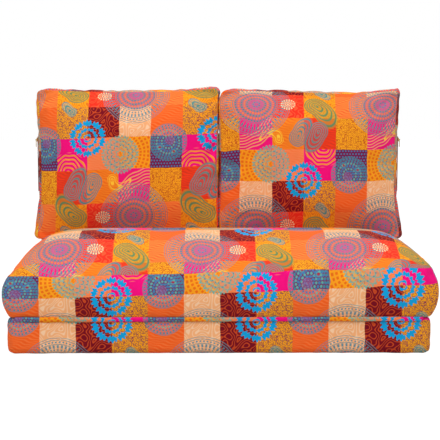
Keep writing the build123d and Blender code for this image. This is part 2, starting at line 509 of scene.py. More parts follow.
TEAL, AQUA, CYAN, BLUE = "2C8F96", "62B4A4", "00A2DE", "3C84B8"
GREY_TEAL, LINE_TEAL, VIOLET, PLUM = "5B9490", "3D8C9E", "B0668A", "A85A60"
GREEN, CREAM, AMBER, YELLOW = "B89A38", "FCEEB8", "FF8414", "FFD23A"
PINK, RED, INDIGO, OLIVE = "D8509A", "B81E28", "4A3C96", "4F8A5E"
SAFFRON, MUSTARD, GOLD, ORANGE = "FBA21A", "F2A01C", "F6A81E", "FA8820"
SCARLET, VERMILION, TANGERINE, CORAL = "F83420", "F43C1A", "F8601E", "FA6A2C"
APRICOT, SALMON, PEACH, MAROON = "FB8A3C", "FC8850", "F9B27A", "780A1C"
MAGENTA, CERISE, AUBERGINE = "F7067F", "F4127A", "74184A"

EYE = (Band(0.0, 0.035, RED), Band(0.05, 0.065, AQUA), Beads(0.1, 12, 0.018, BLUE))

PRINT = Patchwork(
    patches=(
        (
            Patch(SAFFRON, "E8741E", Motif.MAZE), Patch(SCARLET, "FB5A34", Motif.MAZE),
            Patch(CORAL, "FB8A3A", Motif.STRIPES), Patch(APRICOT, "F4602C", Motif.STRIPES),
        ),
        (
            Patch(MUSTARD, "8A2E4E", Motif.VERMICELLI), Patch(MAROON, "C8461E", Motif.MAZE),
            Patch(PEACH, "FCCFA6", Motif.MAZE), Patch(TANGERINE, "FA7836", Motif.STRIPES),
        ),
        (
            Patch(MAGENTA, "FB9A34", Motif.ARCS), Patch(SALMON, "FC8048", Motif.STRIPES),
            Patch(SAFFRON, "F06A14", Motif.RAYS), Patch(AUBERGINE, "3E7AB0", Motif.DOTS),
        ),
        (
            Patch(VERMILION, "DE3A1E", Motif.STRIPES), Patch(ORANGE, "F4701C", Motif.STRIPES),
            Patch(CERISE, "F9A46E", Motif.WAVES), Patch(GOLD, "C84A1E", Motif.VERMICELLI),
        ),
    ),
    paisleys=(
        Paisley((0.64, 0.48), (-0.76, -0.62), 0.36, 0.04, GREEN, OLIVE, 0.5, 5.0),
        Paisley((0.48, 1.14), (-0.36, -0.26), 0.16, 0.04, AQUA, TEAL, 0.4, 2.5),
        Paisley((0.54, 3.58), (0.24, -0.74), 0.31, 0.03, PLUM, GREY_TEAL, 0.5, 5.0),
        Paisley((1.2, 3.36), (-0.26, 0.7), 0.29, 0.03, GREY_TEAL, TEAL, 0.25, 5.0),
        Paisley((1.8, 3.3), (-0.2, 0.58), 0.15, -0.3, YELLOW, YELLOW, 0.1, 2.5),
    ),
    medallions=(
        Medallion(
            (2.5, 0.5),
            (
                Band(0.0, 0.63, VIOLET, 0.8),
                Band(0.0, 0.04, PINK),
                Beads(0.1, 7, 0.03, BLUE),
                Beads(0.19, 13, 0.03, PINK),
                Beads(0.28, 19, 0.032, TEAL),
                Beads(0.36, 25, 0.03, AMBER),
                Beads(0.44, 30, 0.032, TEAL),
                Beads(0.52, 35, 0.03, AMBER),
                Beads(0.6, 40, 0.032, TEAL),
                Band(0.655, 0.68, LINE_TEAL),
                Beads(0.73, 46, 0.026, LINE_TEAL),
                Band(0.775, 0.87, LINE_TEAL, 0.9, 46),
                Band(0.88, 0.9, LINE_TEAL),
                Beads(0.95, 60, 0.026, LINE_TEAL),
                Band(1.0, 1.02, LINE_TEAL),
                Band(1.06, 1.08, LINE_TEAL, 0.7),
            ),
        ),
        Medallion(
            (3.56, 2.2),
            (
                Band(0.0, 0.56, BLUE, 0.18),
                Beads(0.12, 8, 0.032, BLUE),
                Beads(0.2, 13, 0.032, AQUA),
                Beads(0.28, 19, 0.032, BLUE),
                Beads(0.36, 24, 0.032, AQUA),
                Beads(0.44, 29, 0.032, LINE_TEAL),
                Beads(0.52, 34, 0.032, LINE_TEAL),
                Band(0.56, 0.58, LINE_TEAL),
            ),
        ),
        Medallion((3.3, 2.36), EYE),
        Medallion((3.74, 2.5), EYE),
        Medallion(
            (3.62, 2.14),
            (Band(0.0, 0.15, VIOLET, 0.5), Band(0.05, 0.062, INDIGO), Band(0.1, 0.112, INDIGO)),
        ),
        Medallion(
            (2.04, 2.55),
            (
                Band(0.1, 0.56, AQUA, 0.22),
                Petals(0.08, 0.06, 6, 0.02, AQUA),
                Petals(0.2, 0.1, 9, 0.022, AQUA),
                Petals(0.32, 0.1, 12, 0.022, AQUA),
                Petals(0.44, 0.1, 15, 0.022, AQUA),
                Beads(0.27, 18, 0.024, LINE_TEAL, 0.7),
                Beads(0.4, 26, 0.024, LINE_TEAL, 0.7),
                Beads(0.57, 36, 0.026, AQUA, 0.9),
            ),
        ),
        Medallion(
            (1.0, 2.0),
            (
                Leaves(0.1, 0.03, 2, 4, 4.0, CYAN),
                Leaves(0.27, 0.055, 8, 16, 9.0, CYAN),
                Leaves(0.48, 0.1, 10, 30, 4.0, CYAN),
            ),
        ),
        Medallion(
            (1.5, 0.52),
            (
                Band(0.0, 0.03, CREAM),
                Band(0.06, 0.085, CREAM),
                Band(0.11, 0.15, CREAM, 0.9, 12),
                Band(0.17, 0.23, CREAM, 0.95, 16),
            ),
        ),
    ),
)


class Printer:
    """Draws the patchwork into a node tree, colour over colour."""

    SOFT = 0.012
    POINT = 11.0

    def __init__(self, graph: Graph, across: Term, down: Term) -> None:
        """Takes the cloth's place, in patches across and down.

        Args:
            graph: The node tree.
            across: The place across the repeat.
            down: The place down the repeat.
        """
        self.graph = graph
        self.across = across
        self.down = down
        self.colour: Term | None = None

    def stamp(self, mask: Term, colour: str, strength: float = 1.0) -> None:
        """Lays one colour where a mask is 1."""
        self.colour = self.graph.mix(self.colour, paint(colour), mask * strength)

    def motifs(self, x: Term, y: Term) -> dict[Motif, Term]:
        """The mask of each motif inside a patch.

        Args:
            x: The place across the patch, from 0 to 1.
            y: The place down the patch, from 0 to 1.

        Returns:
            For each motif, 1 on its lines: doubled arcs about a corner, arcs about a far corner,
            the middle line of fine noise, level lines of coarse noise, rings of dashes about one
            side, wavy level lines and staggered dots.
        """
        graph = self.graph
        masks: dict[Motif, Term] = {}
        place = graph.vector(self.across, self.down)
        near = graph.length(x - 0.4, y - 1.05)
        arcs = ((near * 8.5 + (x * 3.0).sine() * 0.12).frac() - 0.5).abs().under(0.2, 0.12)
        masks[Motif.ARCS] = arcs * near.under(0.62, 0.02)
        far = graph.length(x - 1.1, y - 1.4)
        waves = ((far * 11.0 + (x * 2.0).sine() * 0.2).frac() - 0.5).abs().under(0.18, 0.1)
        masks[Motif.WAVES] = waves * (far - 1.2).abs().under(0.24, 0.02)
        squiggle = (graph.noise(place, 15.0, 0.0) - 0.5).abs()
        masks[Motif.VERMICELLI] = squiggle.under(0.05, 0.04)
        level = (graph.noise(place, 3.6, 0.0) * 7.0).frac() - 0.5
        masks[Motif.MAZE] = level.abs().under(0.16, 0.14)
        from_side = graph.length(x, y - 0.55)
        turn = graph.math("ARCTAN2", y - 0.55, x) / TAU
        ring = ((from_side * 8.0).frac() - 0.5).abs().under(0.28, 0.1)
        masks[Motif.RAYS] = ring * ((turn * 44.0).frac() - 0.5).abs().under(0.3, 0.2)
        lines = (y * 15 + (x * 1.4 + y * 2).sine() * 0.6).frac() - 0.5
        masks[Motif.STRIPES] = lines.abs().under(0.2, 0.2)
        dot_x = (x * 11 + (y * 11).floor() * 0.5).frac() - 0.5
        dot = graph.length(dot_x, (y * 11).frac() - 0.5)
        masks[Motif.DOTS] = dot.under(0.28, 0.12)
        return masks

    def squares(self, patches: tuple[tuple[Patch, ...], ...]) -> None:
        """Draws the grounds and the motifs of all the patches, chosen from tables by their number.

        Args:
            patches: The rows of patches.
        """
        graph = self.graph
        column = self.across.floor()
        row = self.down.floor()
        cells = [patch for line in patches for patch in line]
        key = (row * PATCHES_IN_REPEAT + column + 0.5) / len(cells)
        masks = self.motifs(self.across - column, self.down - row)
        kinds = list(masks)
        drawn: Term | None = None
        for first in range(0, len(kinds), 3):
            three = kinds[first : first + 3]
            spare = (0.0,) * (3 - len(three))
            weights = [(*(float(cell.motif is kind) for kind in three), *spare) for cell in cells]
            part = graph.dot(graph.table(key, weights), graph.vector(*(masks[k] for k in three)))
            drawn = part if drawn is None else drawn + part
        ground = graph.table(key, [paint(cell.ground) for cell in cells])
        ink = graph.table(key, [paint(cell.ink) for cell in cells])
        self.colour = graph.mix(ground, ink, drawn)

    def polar(self, centre: tuple[float, float]) -> tuple[Term, Term]:
        """The distance from a centre, in patches, and the turns round it, from 0 to 1.

        Args:
            centre: The centre, in patches across and down.

        Returns:
            The distance and the turns.
        """
        half = PATCHES_IN_REPEAT / 2
        x = (self.across - centre[0]).wrap(-half, half)
        y = (self.down - centre[1]).wrap(-half, half)
        return self.graph.length(x, y), self.graph.math("ARCTAN2", y, x) / TAU + 0.5

    def medallion(self, design: Medallion) -> None:
        """Draws rings, beads, petals and leaves.

        Args:
            design: The medallion.
        """
        radius, turn = self.polar(design.centre)
        for mark in design.marks:
            self.stamp(self.mark(mark, radius, turn), mark.colour, mark.strength)

    def mark(self, mark: Band | Beads | Petals | Leaves, radius: Term, turn: Term) -> Term:
        """The mask of one kind of mark about a centre.

        Args:
            mark: What is drawn.
            radius: The distance from the centre, in patches.
            turn: The turns round it, from 0 to 1.

        Returns:
            1 on the mark, with a soft edge.
        """
        if isinstance(mark, Band):
            middle, half = (mark.inner + mark.outer) / 2, (mark.outer - mark.inner) / 2
            ring = (radius - middle).abs().under(half, self.SOFT)
            if mark.cuts == 0:
                return ring
            return ring * ((turn * mark.cuts).frac() - 0.5).abs().under(0.25, 0.2)
        if isinstance(mark, Beads):
            along = ((turn * mark.count).frac() - 0.5) * (TAU * mark.radius / mark.count)
            return self.graph.length(along, radius - mark.radius).under(mark.size, self.SOFT)
        if isinstance(mark, Petals):
            reach = (turn * (mark.count / 2)).sine().abs() * mark.swing + mark.radius
            return (radius - reach).abs().under(mark.width, self.SOFT)
        lens = (((turn * mark.clusters).frac() - 0.5).abs() * 2).power(mark.fullness)
        tooth = (turn * mark.teeth).sine() * 0.25 + 0.85
        half = (lens * -1 + 1) * tooth * mark.width
        swing = (turn * mark.teeth + 0.3).sine() * (mark.width * 0.2)
        return ((radius - mark.radius + swing).abs() - half).under(0.0, self.SOFT)

    def paisley(self, design: Paisley) -> None:
        """Draws a drop with its contours.

        Its edge is the body's radius, and rises to the tip with a high power of the cosine of the
        angle from the tip. The angle turns with the distance, which bends the tip.

        Args:
            design: The paisley.
        """
        radius, turn = self.polar(design.centre)
        reach = math.hypot(*design.tip)
        aim = math.atan2(design.tip[1], design.tip[0]) / TAU + 0.5
        toward = turn - radius * (design.curl / reach) + (0.25 - aim)
        peak = (toward.sine() * 0.5 + 0.5).power(self.POINT)
        share = radius / (peak * (reach - design.body) + design.body)
        self.stamp(share.under(1.0, 0.03), design.fill, design.fill_strength)
        rings = ((share * design.contours).frac() - 0.5).abs().under(0.2, 0.12)
        self.stamp(rings * share.under(1.0, 0.02), design.line, 0.9)

    def draw(self, design: Patchwork) -> Term:
        """Draws the whole repeat and gives back its colour.

        Args:
            design: The repeat.

        Returns:
            Its colour at each place.
        """
        self.squares(design.patches)
        for paisley in design.paisleys:
            self.paisley(paisley)
        for medallion in design.medallions:
            self.medallion(medallion)
        return self.colour


@dataclass(frozen=True)
class PrintedCotton:
    """Patchwork cotton: print, plain weave, soft creases and a darker line of painted shade along each
    seam.
    """

    threads_in_patch: int = 64
    seam_line: float = 1.2 * MM
    crease_scale: float = 2.2
    relief: float = 0.35 * MM
    cloud: str = "5A1208"
    # seam_shade is the colour of the painted shade in each seam's groove.
    seam_shade: str = "3A0A0C"

    def build(self) -> bpy.types.Material:
        """Makes the material.

        Returns:
            The material.
        """
        material, graph = new_material("printed_cotton")
        across, down, _ = graph.parts(graph.texture_map("UV"))
        place = graph.vector(across, down)
        drift = (graph.noise(place, 3.0, 1.0) - 0.5) * 0.05
        repeat = float(PATCHES_IN_REPEAT)
        printer = Printer(graph, (across + drift).wrap(0.0, repeat), (down - drift).wrap(0.0, repeat))
        colour = printer.draw(PRINT)
        cloudy = graph.noise(place, 1.7, 3.0).ramp(0.25, 0.8) * 0.1
        colour = graph.mix(colour, paint(self.cloud), cloudy)
        # A thin darker line along each seam: painted shade in the seam's groove.
        seam = graph.attribute("seam").abs().under(self.seam_line, self.seam_line)
        colour = graph.mix(colour, paint(self.seam_shade), seam * 0.12)
        threads = float(self.threads_in_patch)
        weave = (across * threads).sine() * (down * threads).sine() * 0.5
        slub = graph.noise(place, self.crease_scale * 30, 2.0) * 0.8
        crease = graph.noise(place, self.crease_scale, 3.0) * 9.0
        normal = graph.bump(weave + slub + crease, self.relief, 0.9)
        graph.surface(
            colour, normal, roughness=0.9, sheen_weight=0.03, sheen_roughness=0.5, specular_ior_level=0.12
        )
        return material


@dataclass(frozen=True)
class PlainCotton:
    """Plain dark lining cotton under the blocks and on the rear flap."""

    colour: str = "6E1B24"
    shade: str = "4A1018"
    ribs_in_metre: float = 420.0

    def build(self) -> bpy.types.Material:
        """Makes the material: a plain weave on Object coordinates with cloudy dye.

        Returns:
            The material.
        """
        material, graph = new_material("plain_cotton")
        place = graph.texture_map("Object")
        x, y, z = graph.parts(place)
        cloud = graph.noise(place, 9.0, 4.0)
        colour = graph.mix(paint(self.colour), paint(self.shade), cloud.ramp(0.3, 0.75) * 0.6)
        ribs = self.ribs_in_metre
        rib = (x * ribs).sine() * (y * ribs + z * ribs).sine()
        normal = graph.bump(rib * 0.5 + graph.noise(place, 40.0, 2.0) * 3.0, 0.3 * MM, 0.8)
        graph.surface(colour, normal, roughness=0.88, sheen_weight=0.1, specular_ior_level=0.2)
        return material


@dataclass(frozen=True)
class Foam:
    """Open-cell foam: pale, matt and pitted all over."""

    light: str = "F1E3B6"
    dark: str = "D9C384"
    cell_scale: float = 420.0

    def build(self) -> bpy.types.Material:
        """Makes the material: cells from a Voronoi pattern, with painted shade in their pits, and faint
        yellowing.

        Returns:
            The material.
        """
        material, graph = new_material("foam")
        place = graph.texture_map("Object")
        cells = graph.node("ShaderNodeTexVoronoi")
        graph.feed(cells.inputs["Vector"], place)
        cells.inputs["Scale"].default_value = self.cell_scale
        pit = Term(graph, cells.outputs["Distance"])
        colour = graph.mix(paint(self.light), paint(self.dark), graph.noise(place, 6.0, 4.0))
        # Darker at the middle of each cell, where the bump sinks it: painted shade in the foam's pits.
        colour = graph.mix(paint("B79A58"), colour, pit.ramp(0.0, 0.35))
        graph.surface(colour, graph.bump(pit, 0.8 * MM, 0.8), roughness=0.95, specular_ior_level=0.1)
        return material


@dataclass(frozen=True)
class Fibre:
    """Polyester filling: white, matted strands."""

    def build(self) -> bpy.types.Material:
        """Makes the material: long noise streaks in two directions, greyer where they lie low as painted
        shade between the strands.

        Returns:
            The material.
        """
        material, graph = new_material("fibre")
        place = graph.texture_map("Object")
        x, y, z = graph.parts(place)
        strands = graph.noise(graph.vector(x * 0.15, y * 1.4, z), 260.0, 5.0)
        crossing = graph.noise(graph.vector(x * 1.5, y * 0.2, z * 1.2), 210.0, 5.0)
        height = strands + crossing
        # Grey where the strands lie low and white on their tops: painted shade between the strands.
        colour = graph.mix(paint("CFCBC0"), paint("F6F4EE"), height.ramp(0.6, 1.3))
        graph.surface(colour, graph.bump(height, 2.0 * MM, 0.9), roughness=0.9, sheen_weight=0.3)
        return material


@dataclass(frozen=True)
class Brass:
    """Antique brass of the zip sliders: brushed, with darker patches of tarnish."""

    def build(self) -> bpy.types.Material:
        """Makes the material: fine scratches along X and patches of tarnish.

        Returns:
            The material.
        """
        material, graph = new_material("antique_brass")
        place = graph.texture_map("Object")
        x, y, z = graph.parts(place)
        scratch = graph.noise(graph.vector(x * 0.3, y * 6.0, z * 6.0), 900.0, 3.0)
        tarnish = graph.noise(place, 300.0, 4.0).ramp(0.42, 0.7)
        colour = graph.mix(paint("C9A35A"), paint("5E4524"), tarnish * 0.7)
        rough = scratch * 0.25 + 0.2
        normal = graph.bump(scratch, 0.05 * MM, 0.6)
        graph.surface(colour, normal, roughness=rough, metallic=1.0)
        return material


@dataclass(frozen=True)
class ZipTape:
    """Woven zip tape and its nylon coil, dyed to go with the cover."""

    def build(self) -> bpy.types.Material:
        """Makes the material: a herringbone of fine threads.

        Returns:
            The material.
        """
        material, graph = new_material("zip_tape")
        place = graph.texture_map("Object")
        x, y, z = graph.parts(place)
        twill = ((y + z) * 900.0 + x * 500.0).sine() * 0.5 + 0.5
        colour = graph.mix(paint("A53A16"), paint("D65A22"), twill * 0.6)
        graph.surface(colour, graph.bump(twill, 0.15 * MM, 0.8), roughness=0.7, sheen_weight=0.1)
        return material


class Finish(Enum):
    """The finishes, by the record's slots."""

    PRINTED_CLOTH = "printed_cloth"
    PLAIN_CLOTH = "plain_cloth"
    FOAM = "foam"
    FIBRE = "fibre"
    ZIP_TAPE = "zip_tape"
    ZIP_METAL = "zip_metal"


class Wardrobe:
    """Makes each finish once and puts it on pieces."""

    RECIPES = {
        Finish.PRINTED_CLOTH: PrintedCotton,
        Finish.PLAIN_CLOTH: PlainCotton,
        Finish.FOAM: Foam,
        Finish.FIBRE: Fibre,
        Finish.ZIP_TAPE: ZipTape,
        Finish.ZIP_METAL: Brass,
    }

    def __init__(self) -> None:
        """Makes all the materials."""
        self.made = {finish: recipe().build() for finish, recipe in self.RECIPES.items()}

    def dress(self, piece: bpy.types.Object, *finishes: Finish) -> None:
        """Gives a piece its materials in order.

        Args:
            piece: The piece.
            finishes: Its finishes.
        """
        piece.data.materials.clear()
        for finish in finishes:
            piece.data.materials.append(self.made[finish])


@dataclass(frozen=True)
class Drift:
    """A place on a panel where the cloth is pulled askew, so that its print shifts there."""

    along: float
    up: float
    reach_along: float
    reach_up: float
    across: float
    down: float


@dataclass(frozen=True)
class Lay:
    """How the print lies on one panel: patches across and down, from metres along and up the cloth."""

    across: float
    down: float
    across_along: float = 0.0
    across_up: float = 0.0
    down_along: float = 0.0
    down_up: float = 0.0
    drifts: tuple[Drift, ...] = ()

    def map(self, along: np.ndarray, up: np.ndarray) -> np.ndarray:
        """The place in the print of each point, as two columns.

        Args:
            along: Metres along the cloth.
            up: Metres up the cloth.

        Returns:
            Patches across and down.
        """
        across = self.across + self.across_along * along + self.across_up * up
        down = self.down + self.down_along * along + self.down_up * up
        for drift in self.drifts:
            far_along, far_up = (along - drift.along) / drift.reach_along, (up - drift.up) / drift.reach_up
            weight = np.exp(-(far_along**2 + far_up**2))
            across = across + drift.across * weight
            down = down + drift.down * weight
        return np.stack((across, down), axis=-1)


def block_lay(down: float, slope: float = 0.0, way: int = 1) -> Lay:
    """The print on a block: its columns count to the left from the column edge.

    Args:
        down: The place in the print where the panel starts.
        slope: How much the rows fall along the cloth, in patches a metre.
        way: 1 where the rows count up the cloth and -1 where they count down.

    Returns:
        The lay.
    """
    return Lay(1 + COLUMN_EDGE / PATCH, down, -1 / PATCH, 0, slope, way / PATCH)


@dataclass(frozen=True)
class Pull:
    """A local pull on a cover: points near a place, or near a line to its end, move by a step."""

    start: tuple[float, float, float]
    step: tuple[float, float, float]
    reach: float
    end: tuple[float, float, float] | None = None

    def move(self, points: np.ndarray) -> np.ndarray:
        """The points after the pull, which fades with the square of the distance over the reach.

        Args:
            points: The points, as rows.

        Returns:
            The moved points.
        """
        first = np.array(self.start)
        line = np.array(self.end or self.start) - first
        away = points - first
        if self.end is not None:
            share = np.clip(away @ line / (line @ line), 0, 1)
            away = away - share[..., None] * line
        weight = np.exp(-(away**2).sum(axis=-1) / self.reach**2)
        return points + weight[..., None] * np.array(self.step)


@dataclass(frozen=True)
class Panel:
    """One of the two large panels of a box cover.

    The height is the rise times a fade from each side, over a reach, plus a round along the edge.
    """

    lay: Lay
    rise: float = 0.0
    reach: tuple[float, float] = (0.2, 0.2)
    power: tuple[float, float] = (2.2, 2.2)
    edge_round: float = 0.0

    def height(self, side: np.ndarray, front: np.ndarray, edge: np.ndarray) -> np.ndarray:
        """How far each point stands above the seam.

        Args:
            side: Distance from the nearer side.
            front: Distance from the nearer of front and back.
            edge: Distance from the rounded outline.

        Returns:
            The rise faded by 1 - (1 - distance / reach) ^ power from both, and a quarter circle.
        """
        fade = [
            1 - (1 - np.clip(gap / reach, 0, 1)) ** power
            for gap, reach, power in zip((side, front), self.reach, self.power)
        ]
        high = self.rise * fade[0] * fade[1]
        if self.edge_round > 0:
            inward = np.clip(edge / self.edge_round, 0, 1)
            high = high + self.edge_round * np.sqrt(1 - (1 - inward) ** 2)
        return high


@dataclass
class BoxCover:
    """A box cover: two panels and the wall that joins them, built lying flat about its own middle.

    WAVES holds the shortest and longest puckers, slow waves and wavers of the seam.
    """

    WAVES: ClassVar = ((30 * MM, 80 * MM), (120 * MM, 500 * MM), (200 * MM, 900 * MM))

    name: str
    width: float
    depth: float
    low: float
    high: float
    top: Panel
    bottom: Panel
    wall: Lay
    corner: float
    side_bow: float = 0.0
    front_bow: float = 0.0
    side_bulge: float = 0.0
    front_bulge: float = 0.0
    mesh_size: float = 12 * MM
    pucker: float = 0.7 * MM
    pucker_fade: float = 30 * MM
    groove: float = 1.2 * MM
    seam_waver: float = 0.0
    waver_fade: float = 40 * MM
    groove_width: float = 5 * MM
    seed: int = 1
    seam_tilt: float = 0.0
    tilt_fade: float = 50 * MM
    turn: Matrix = field(default_factory=Matrix)
    edge_steps: tuple[float, ...] = (0, 2, 4, 7, 10, 14, 19, 25, 32, 40)
    wall_rows: tuple[float, ...] = (0, 0.03, 0.07, 0.13, 0.22, 0.34, 0.5, 0.66, 0.78, 0.87, 0.93, 0.97, 1)

    def lines(self, span: float) -> np.ndarray:
        """Grid lines over a span, close together at both ends and even between, with one at 0.

        Args:
            span: The length of the span.

        Returns:
            The lines' places.
        """
        near = np.array(self.edge_steps) * MM
        half = span / 2
        count = max(2, round((half - near[-1]) / self.mesh_size))
        inner = np.linspace(half - near[-1], 0, count + 1)[1:]
        right = np.concatenate((half - near, inner))[::-1]
        return np.concatenate((-right[:0:-1], right))

    def outline(self, x: np.ndarray, y: np.ndarray) -> tuple[np.ndarray, np.ndarray, np.ndarray]:
        """Rounds the corners of a flat grid and bows its sides.

        In each corner zone the square is turned to a quarter disc: each place is multiplied by the
        root of one less half the other's square. The sides then bow with 1 - share squared.

        Args:
            x: Places across.
            y: Places front to back.

        Returns:
            The new x and y, and the distance of each point from the rounded outline.
        """
        half_w, half_d = self.width / 2, self.depth / 2
        p = np.clip((np.abs(x) - half_w + self.corner) / self.corner, 0, None)
        q = np.clip((np.abs(y) - half_d + self.corner) / self.corner, 0, None)
        inside = (p > 0) & (q > 0)
        new_p = np.where(inside, p * np.sqrt(1 - q * q / 2), p)
        new_q = np.where(inside, q * np.sqrt(1 - p * p / 2), q)
        edge = self.corner * (1 - np.hypot(new_p, new_q))
        flat = np.minimum(half_w - np.abs(x), half_d - np.abs(y))
        edge = np.where(inside, edge, flat)
        x = x + np.sign(x) * self.corner * (new_p - p)
        y = y + np.sign(y) * self.corner * (new_q - q)
        bowed_x = x * (1 + self.side_bow / half_w * (1 - (y / half_d) ** 2))
        bowed_y = y * (1 + self.front_bow / half_d * (1 - (x / half_w) ** 2))
        return bowed_x, bowed_y, edge

    def around(self, x: np.ndarray, y: np.ndarray) -> np.ndarray:
        """How far round the rim the nearest point of the seam is, from the middle of the front.

        Near a corner the two sides' measures are blended by how near each side is, so that no
        step shows.

        Args:
            x: Places across.
            y: Places front to back.

        Returns:
            The distances round the rim, below 0 on the left.
        """
        half_w, half_d = self.width / 2, self.depth / 2
        side = np.clip(half_w - np.abs(x), 0, None)
        front = np.clip(half_d - np.abs(y), 0, None)
        share = side / np.maximum(side + front, 1e-9)
        blend = share * share * (3 - 2 * share)
        near = half_w - side * blend + front * (1 - blend)
        far = half_w + self.depth + side * blend - front * (1 - blend)
        return np.where(x < 0, -1, 1) * np.where(y < 0, near, far)

    def panel_sheet(self, panel: Panel, up: int) -> tuple[np.ndarray, ...]:
        """One panel as a grid of points, with its map and its distances from the seam.

        Args:
            panel: The panel.
            up: 1 for the upper panel and -1 for the lower.

        Returns:
            The points, their map, their distances from the outline and their distances round the rim.
        """
        x, y = np.meshgrid(self.lines(self.width), self.lines(self.depth), indexing="ij")
        side = self.width / 2 - np.abs(x)
        front = self.depth / 2 - np.abs(y)
        bowed_x, bowed_y, edge = self.outline(x, y)
        level = self.high if up > 0 else self.low
        z = level + up * panel.height(side, front, edge)
        points = np.stack((bowed_x, bowed_y, z), axis=-1)
        points = self.shaped(points)
        along = run_along(points)
        along = along - along[along.shape[0] // 2]
        return points, panel.lay.map(along, run_along(points, 1)), edge, self.around(x, y)

    def shaped(self, points: np.ndarray) -> np.ndarray:
        """A chance for a cover to press its grid to what stands on it. A plain cover stays as it is."""
        return points

    def wall_sheet(self) -> tuple[np.ndarray, ...]:
        """The wall as a grid of points: the rim at each level, swollen outwards by 1 - level squared.

        Returns:
            The points, their map, their distances from the nearer seam and round the rim.
        """
        x, y = np.meshgrid(self.lines(self.width), self.lines(self.depth), indexing="ij")
        bowed_x, bowed_y, _ = self.outline(x, y)
        rim = np.stack((bowed_x, bowed_y), axis=-1)
        flat = np.stack((x, y), axis=-1)

        def ring(grid: np.ndarray) -> np.ndarray:
            """The grid's border from the middle of its back, left and round to the same point.

            Args:
                grid: The grid.

            Returns:
                The border's points, with the first again at the end.
            """
            border = np.concatenate((grid[:, 0], grid[-1, 1:], grid[-2::-1, -1], grid[0, -2:0:-1]))
            start = len(grid[:, 0]) + len(grid[-1, 1:]) + len(grid) // 2 - 1
            border = np.roll(border, -start, axis=0)
            return np.concatenate((border, border[:1]))

        border, straight = ring(rim), ring(flat)
        ahead = np.roll(border[:-1], -1, axis=0) - np.roll(border[:-1], 1, axis=0)
        ahead = np.concatenate((ahead, ahead[:1]))
        outward = np.stack((ahead[:, 1], -ahead[:, 0]), axis=-1)
        outward /= np.linalg.norm(outward, axis=-1, keepdims=True)
        bulge = self.side_bulge * outward[:, 0] ** 2 + self.front_bulge * outward[:, 1] ** 2
        share = np.array(self.wall_rows)
        swell = 1 - (2 * share - 1) ** 2
        flat_points = border[None] + outward[None] * (swell[:, None] * bulge[None])[..., None]
        z = np.broadcast_to((self.low + (self.high - self.low) * share)[:, None], flat_points.shape[:2])
        points = np.concatenate((flat_points, z[..., None]), axis=-1)
        along = run_along(border)
        along = np.broadcast_to(along - along[-1] / 2, z.shape)
        gap = (self.high - self.low) * np.minimum(share, 1 - share)
        gap = np.broadcast_to(gap[:, None], z.shape)
        around = self.around(straight[:, 0], straight[:, 1])
        around = np.broadcast_to(around, z.shape)
        return points, self.wall.map(along, z - self.low), gap, around

    def drawn_in(self, name: str, gap: float) -> "BoxCover":
        """The same form, smaller by a gap on every side and rounder, for what fills the cover.

        Args:
            name: The new form's name.
            gap: How far it stays inside.

        Returns:
            The new form.
        """
        return replace(
            self, name=name, width=self.width - 2 * gap, depth=self.depth - 2 * gap,
            low=self.low + gap / 2, high=self.high - gap / 2, corner=self.corner + 3 * gap,
        )

    def build(self) -> bpy.types.Object:
        """Builds the closed mesh with its map and its seam distances.

        Returns:
            The piece.
        """
        sheets = (
            self.panel_sheet(self.top, 1), self.panel_sheet(self.bottom, -1), self.wall_sheet()
        )
        points, maps, gaps, arounds, faces = [], [], [], [], []
        first = 0
        for grid, lay, gap, around in sheets:
            faces.append(grid_faces(*grid.shape[:2], first))
            points.append(grid.reshape(-1, 3))
            maps.append(lay.reshape(-1, 2))
            gaps.append(gap.reshape(-1))
            arounds.append(around.reshape(-1))
            first += len(points[-1])
        points = np.concatenate(points)
        faces = np.concatenate(faces)
        upper = points[:, 2] > (self.low + self.high) / 2
        near_seam = np.exp(-np.concatenate(gaps) / self.tilt_fade)
        points[:, 2] += self.seam_tilt * points[:, 0] / (self.width / 2) * near_seam * upper
        numbers = {"seam": np.concatenate(gaps), "around": np.concatenate(arounds)}
        piece = cloth_piece(self.name, points, faces, np.concatenate(maps), numbers)
        close(piece.data)
        return piece

    def gather(self, piece: bpy.types.Object) -> None:
        """Sinks the seams and puckers the cloth beside them.

        Each point moves along its normal by a groove that fades with the square of its distance from
        the seam, and by waves round the rim that fade with the distance.

        Args:
            piece: The cover's piece.
        """
        mesh = piece.data
        points, normals = read(mesh.vertices, "co"), read(mesh.vertices, "normal")
        gap = number(mesh, "seam")
        around = number(mesh, "around")
        rim = 2 * (self.width + self.depth)
        waves, slow, waver = (
            ripple(around, rim, shortest, longest, self.seed + index)
            for index, (shortest, longest) in enumerate(self.WAVES)
        )
        sunk = np.exp(-((gap / self.groove_width) ** 2))
        depth = -self.groove * sunk
        depth += self.pucker * (waves + slow) * np.exp(-gap / self.pucker_fade) * (1 - sunk)
        points = points + normals * depth[:, None]
        waver = waver * np.exp(-gap / self.waver_fade)
        upper = points[:, 2] > (self.low + self.high) / 2
        points[:, 2] += self.seam_waver * waver * upper
        write(mesh.vertices, "co", points)

    def place(self, piece: bpy.types.Object) -> None:
        """Stands the piece where it belongs, with the place in its mesh."""
        piece.data.transform(self.turn)
        piece.data.update()


def run_along(points: np.ndarray, axis: int = 0) -> np.ndarray:
    """How far along its line of the grid each point is, from the line's first point."""
    steps = np.linalg.norm(np.diff(points, axis=axis), axis=-1)
    return np.insert(np.cumsum(steps, axis=axis), 0, 0.0, axis=axis)


def read(items: bpy.types.bpy_prop_collection, name: str) -> np.ndarray:
    """A vector of every vertex, as rows.

    Args:
        items: The vertices or faces of a mesh.
        name: Which of their vectors.

    Returns:
        The rows.
    """
    values = np.empty(len(items) * 3, dtype=np.float32)
    items.foreach_get(name, values)
    return values.reshape(-1, 3).astype(float)


def write(items: bpy.types.bpy_prop_collection, name: str, rows: np.ndarray) -> None:
    """Gives every vertex its row."""
    items.foreach_set(name, rows.astype(np.float32).reshape(-1))


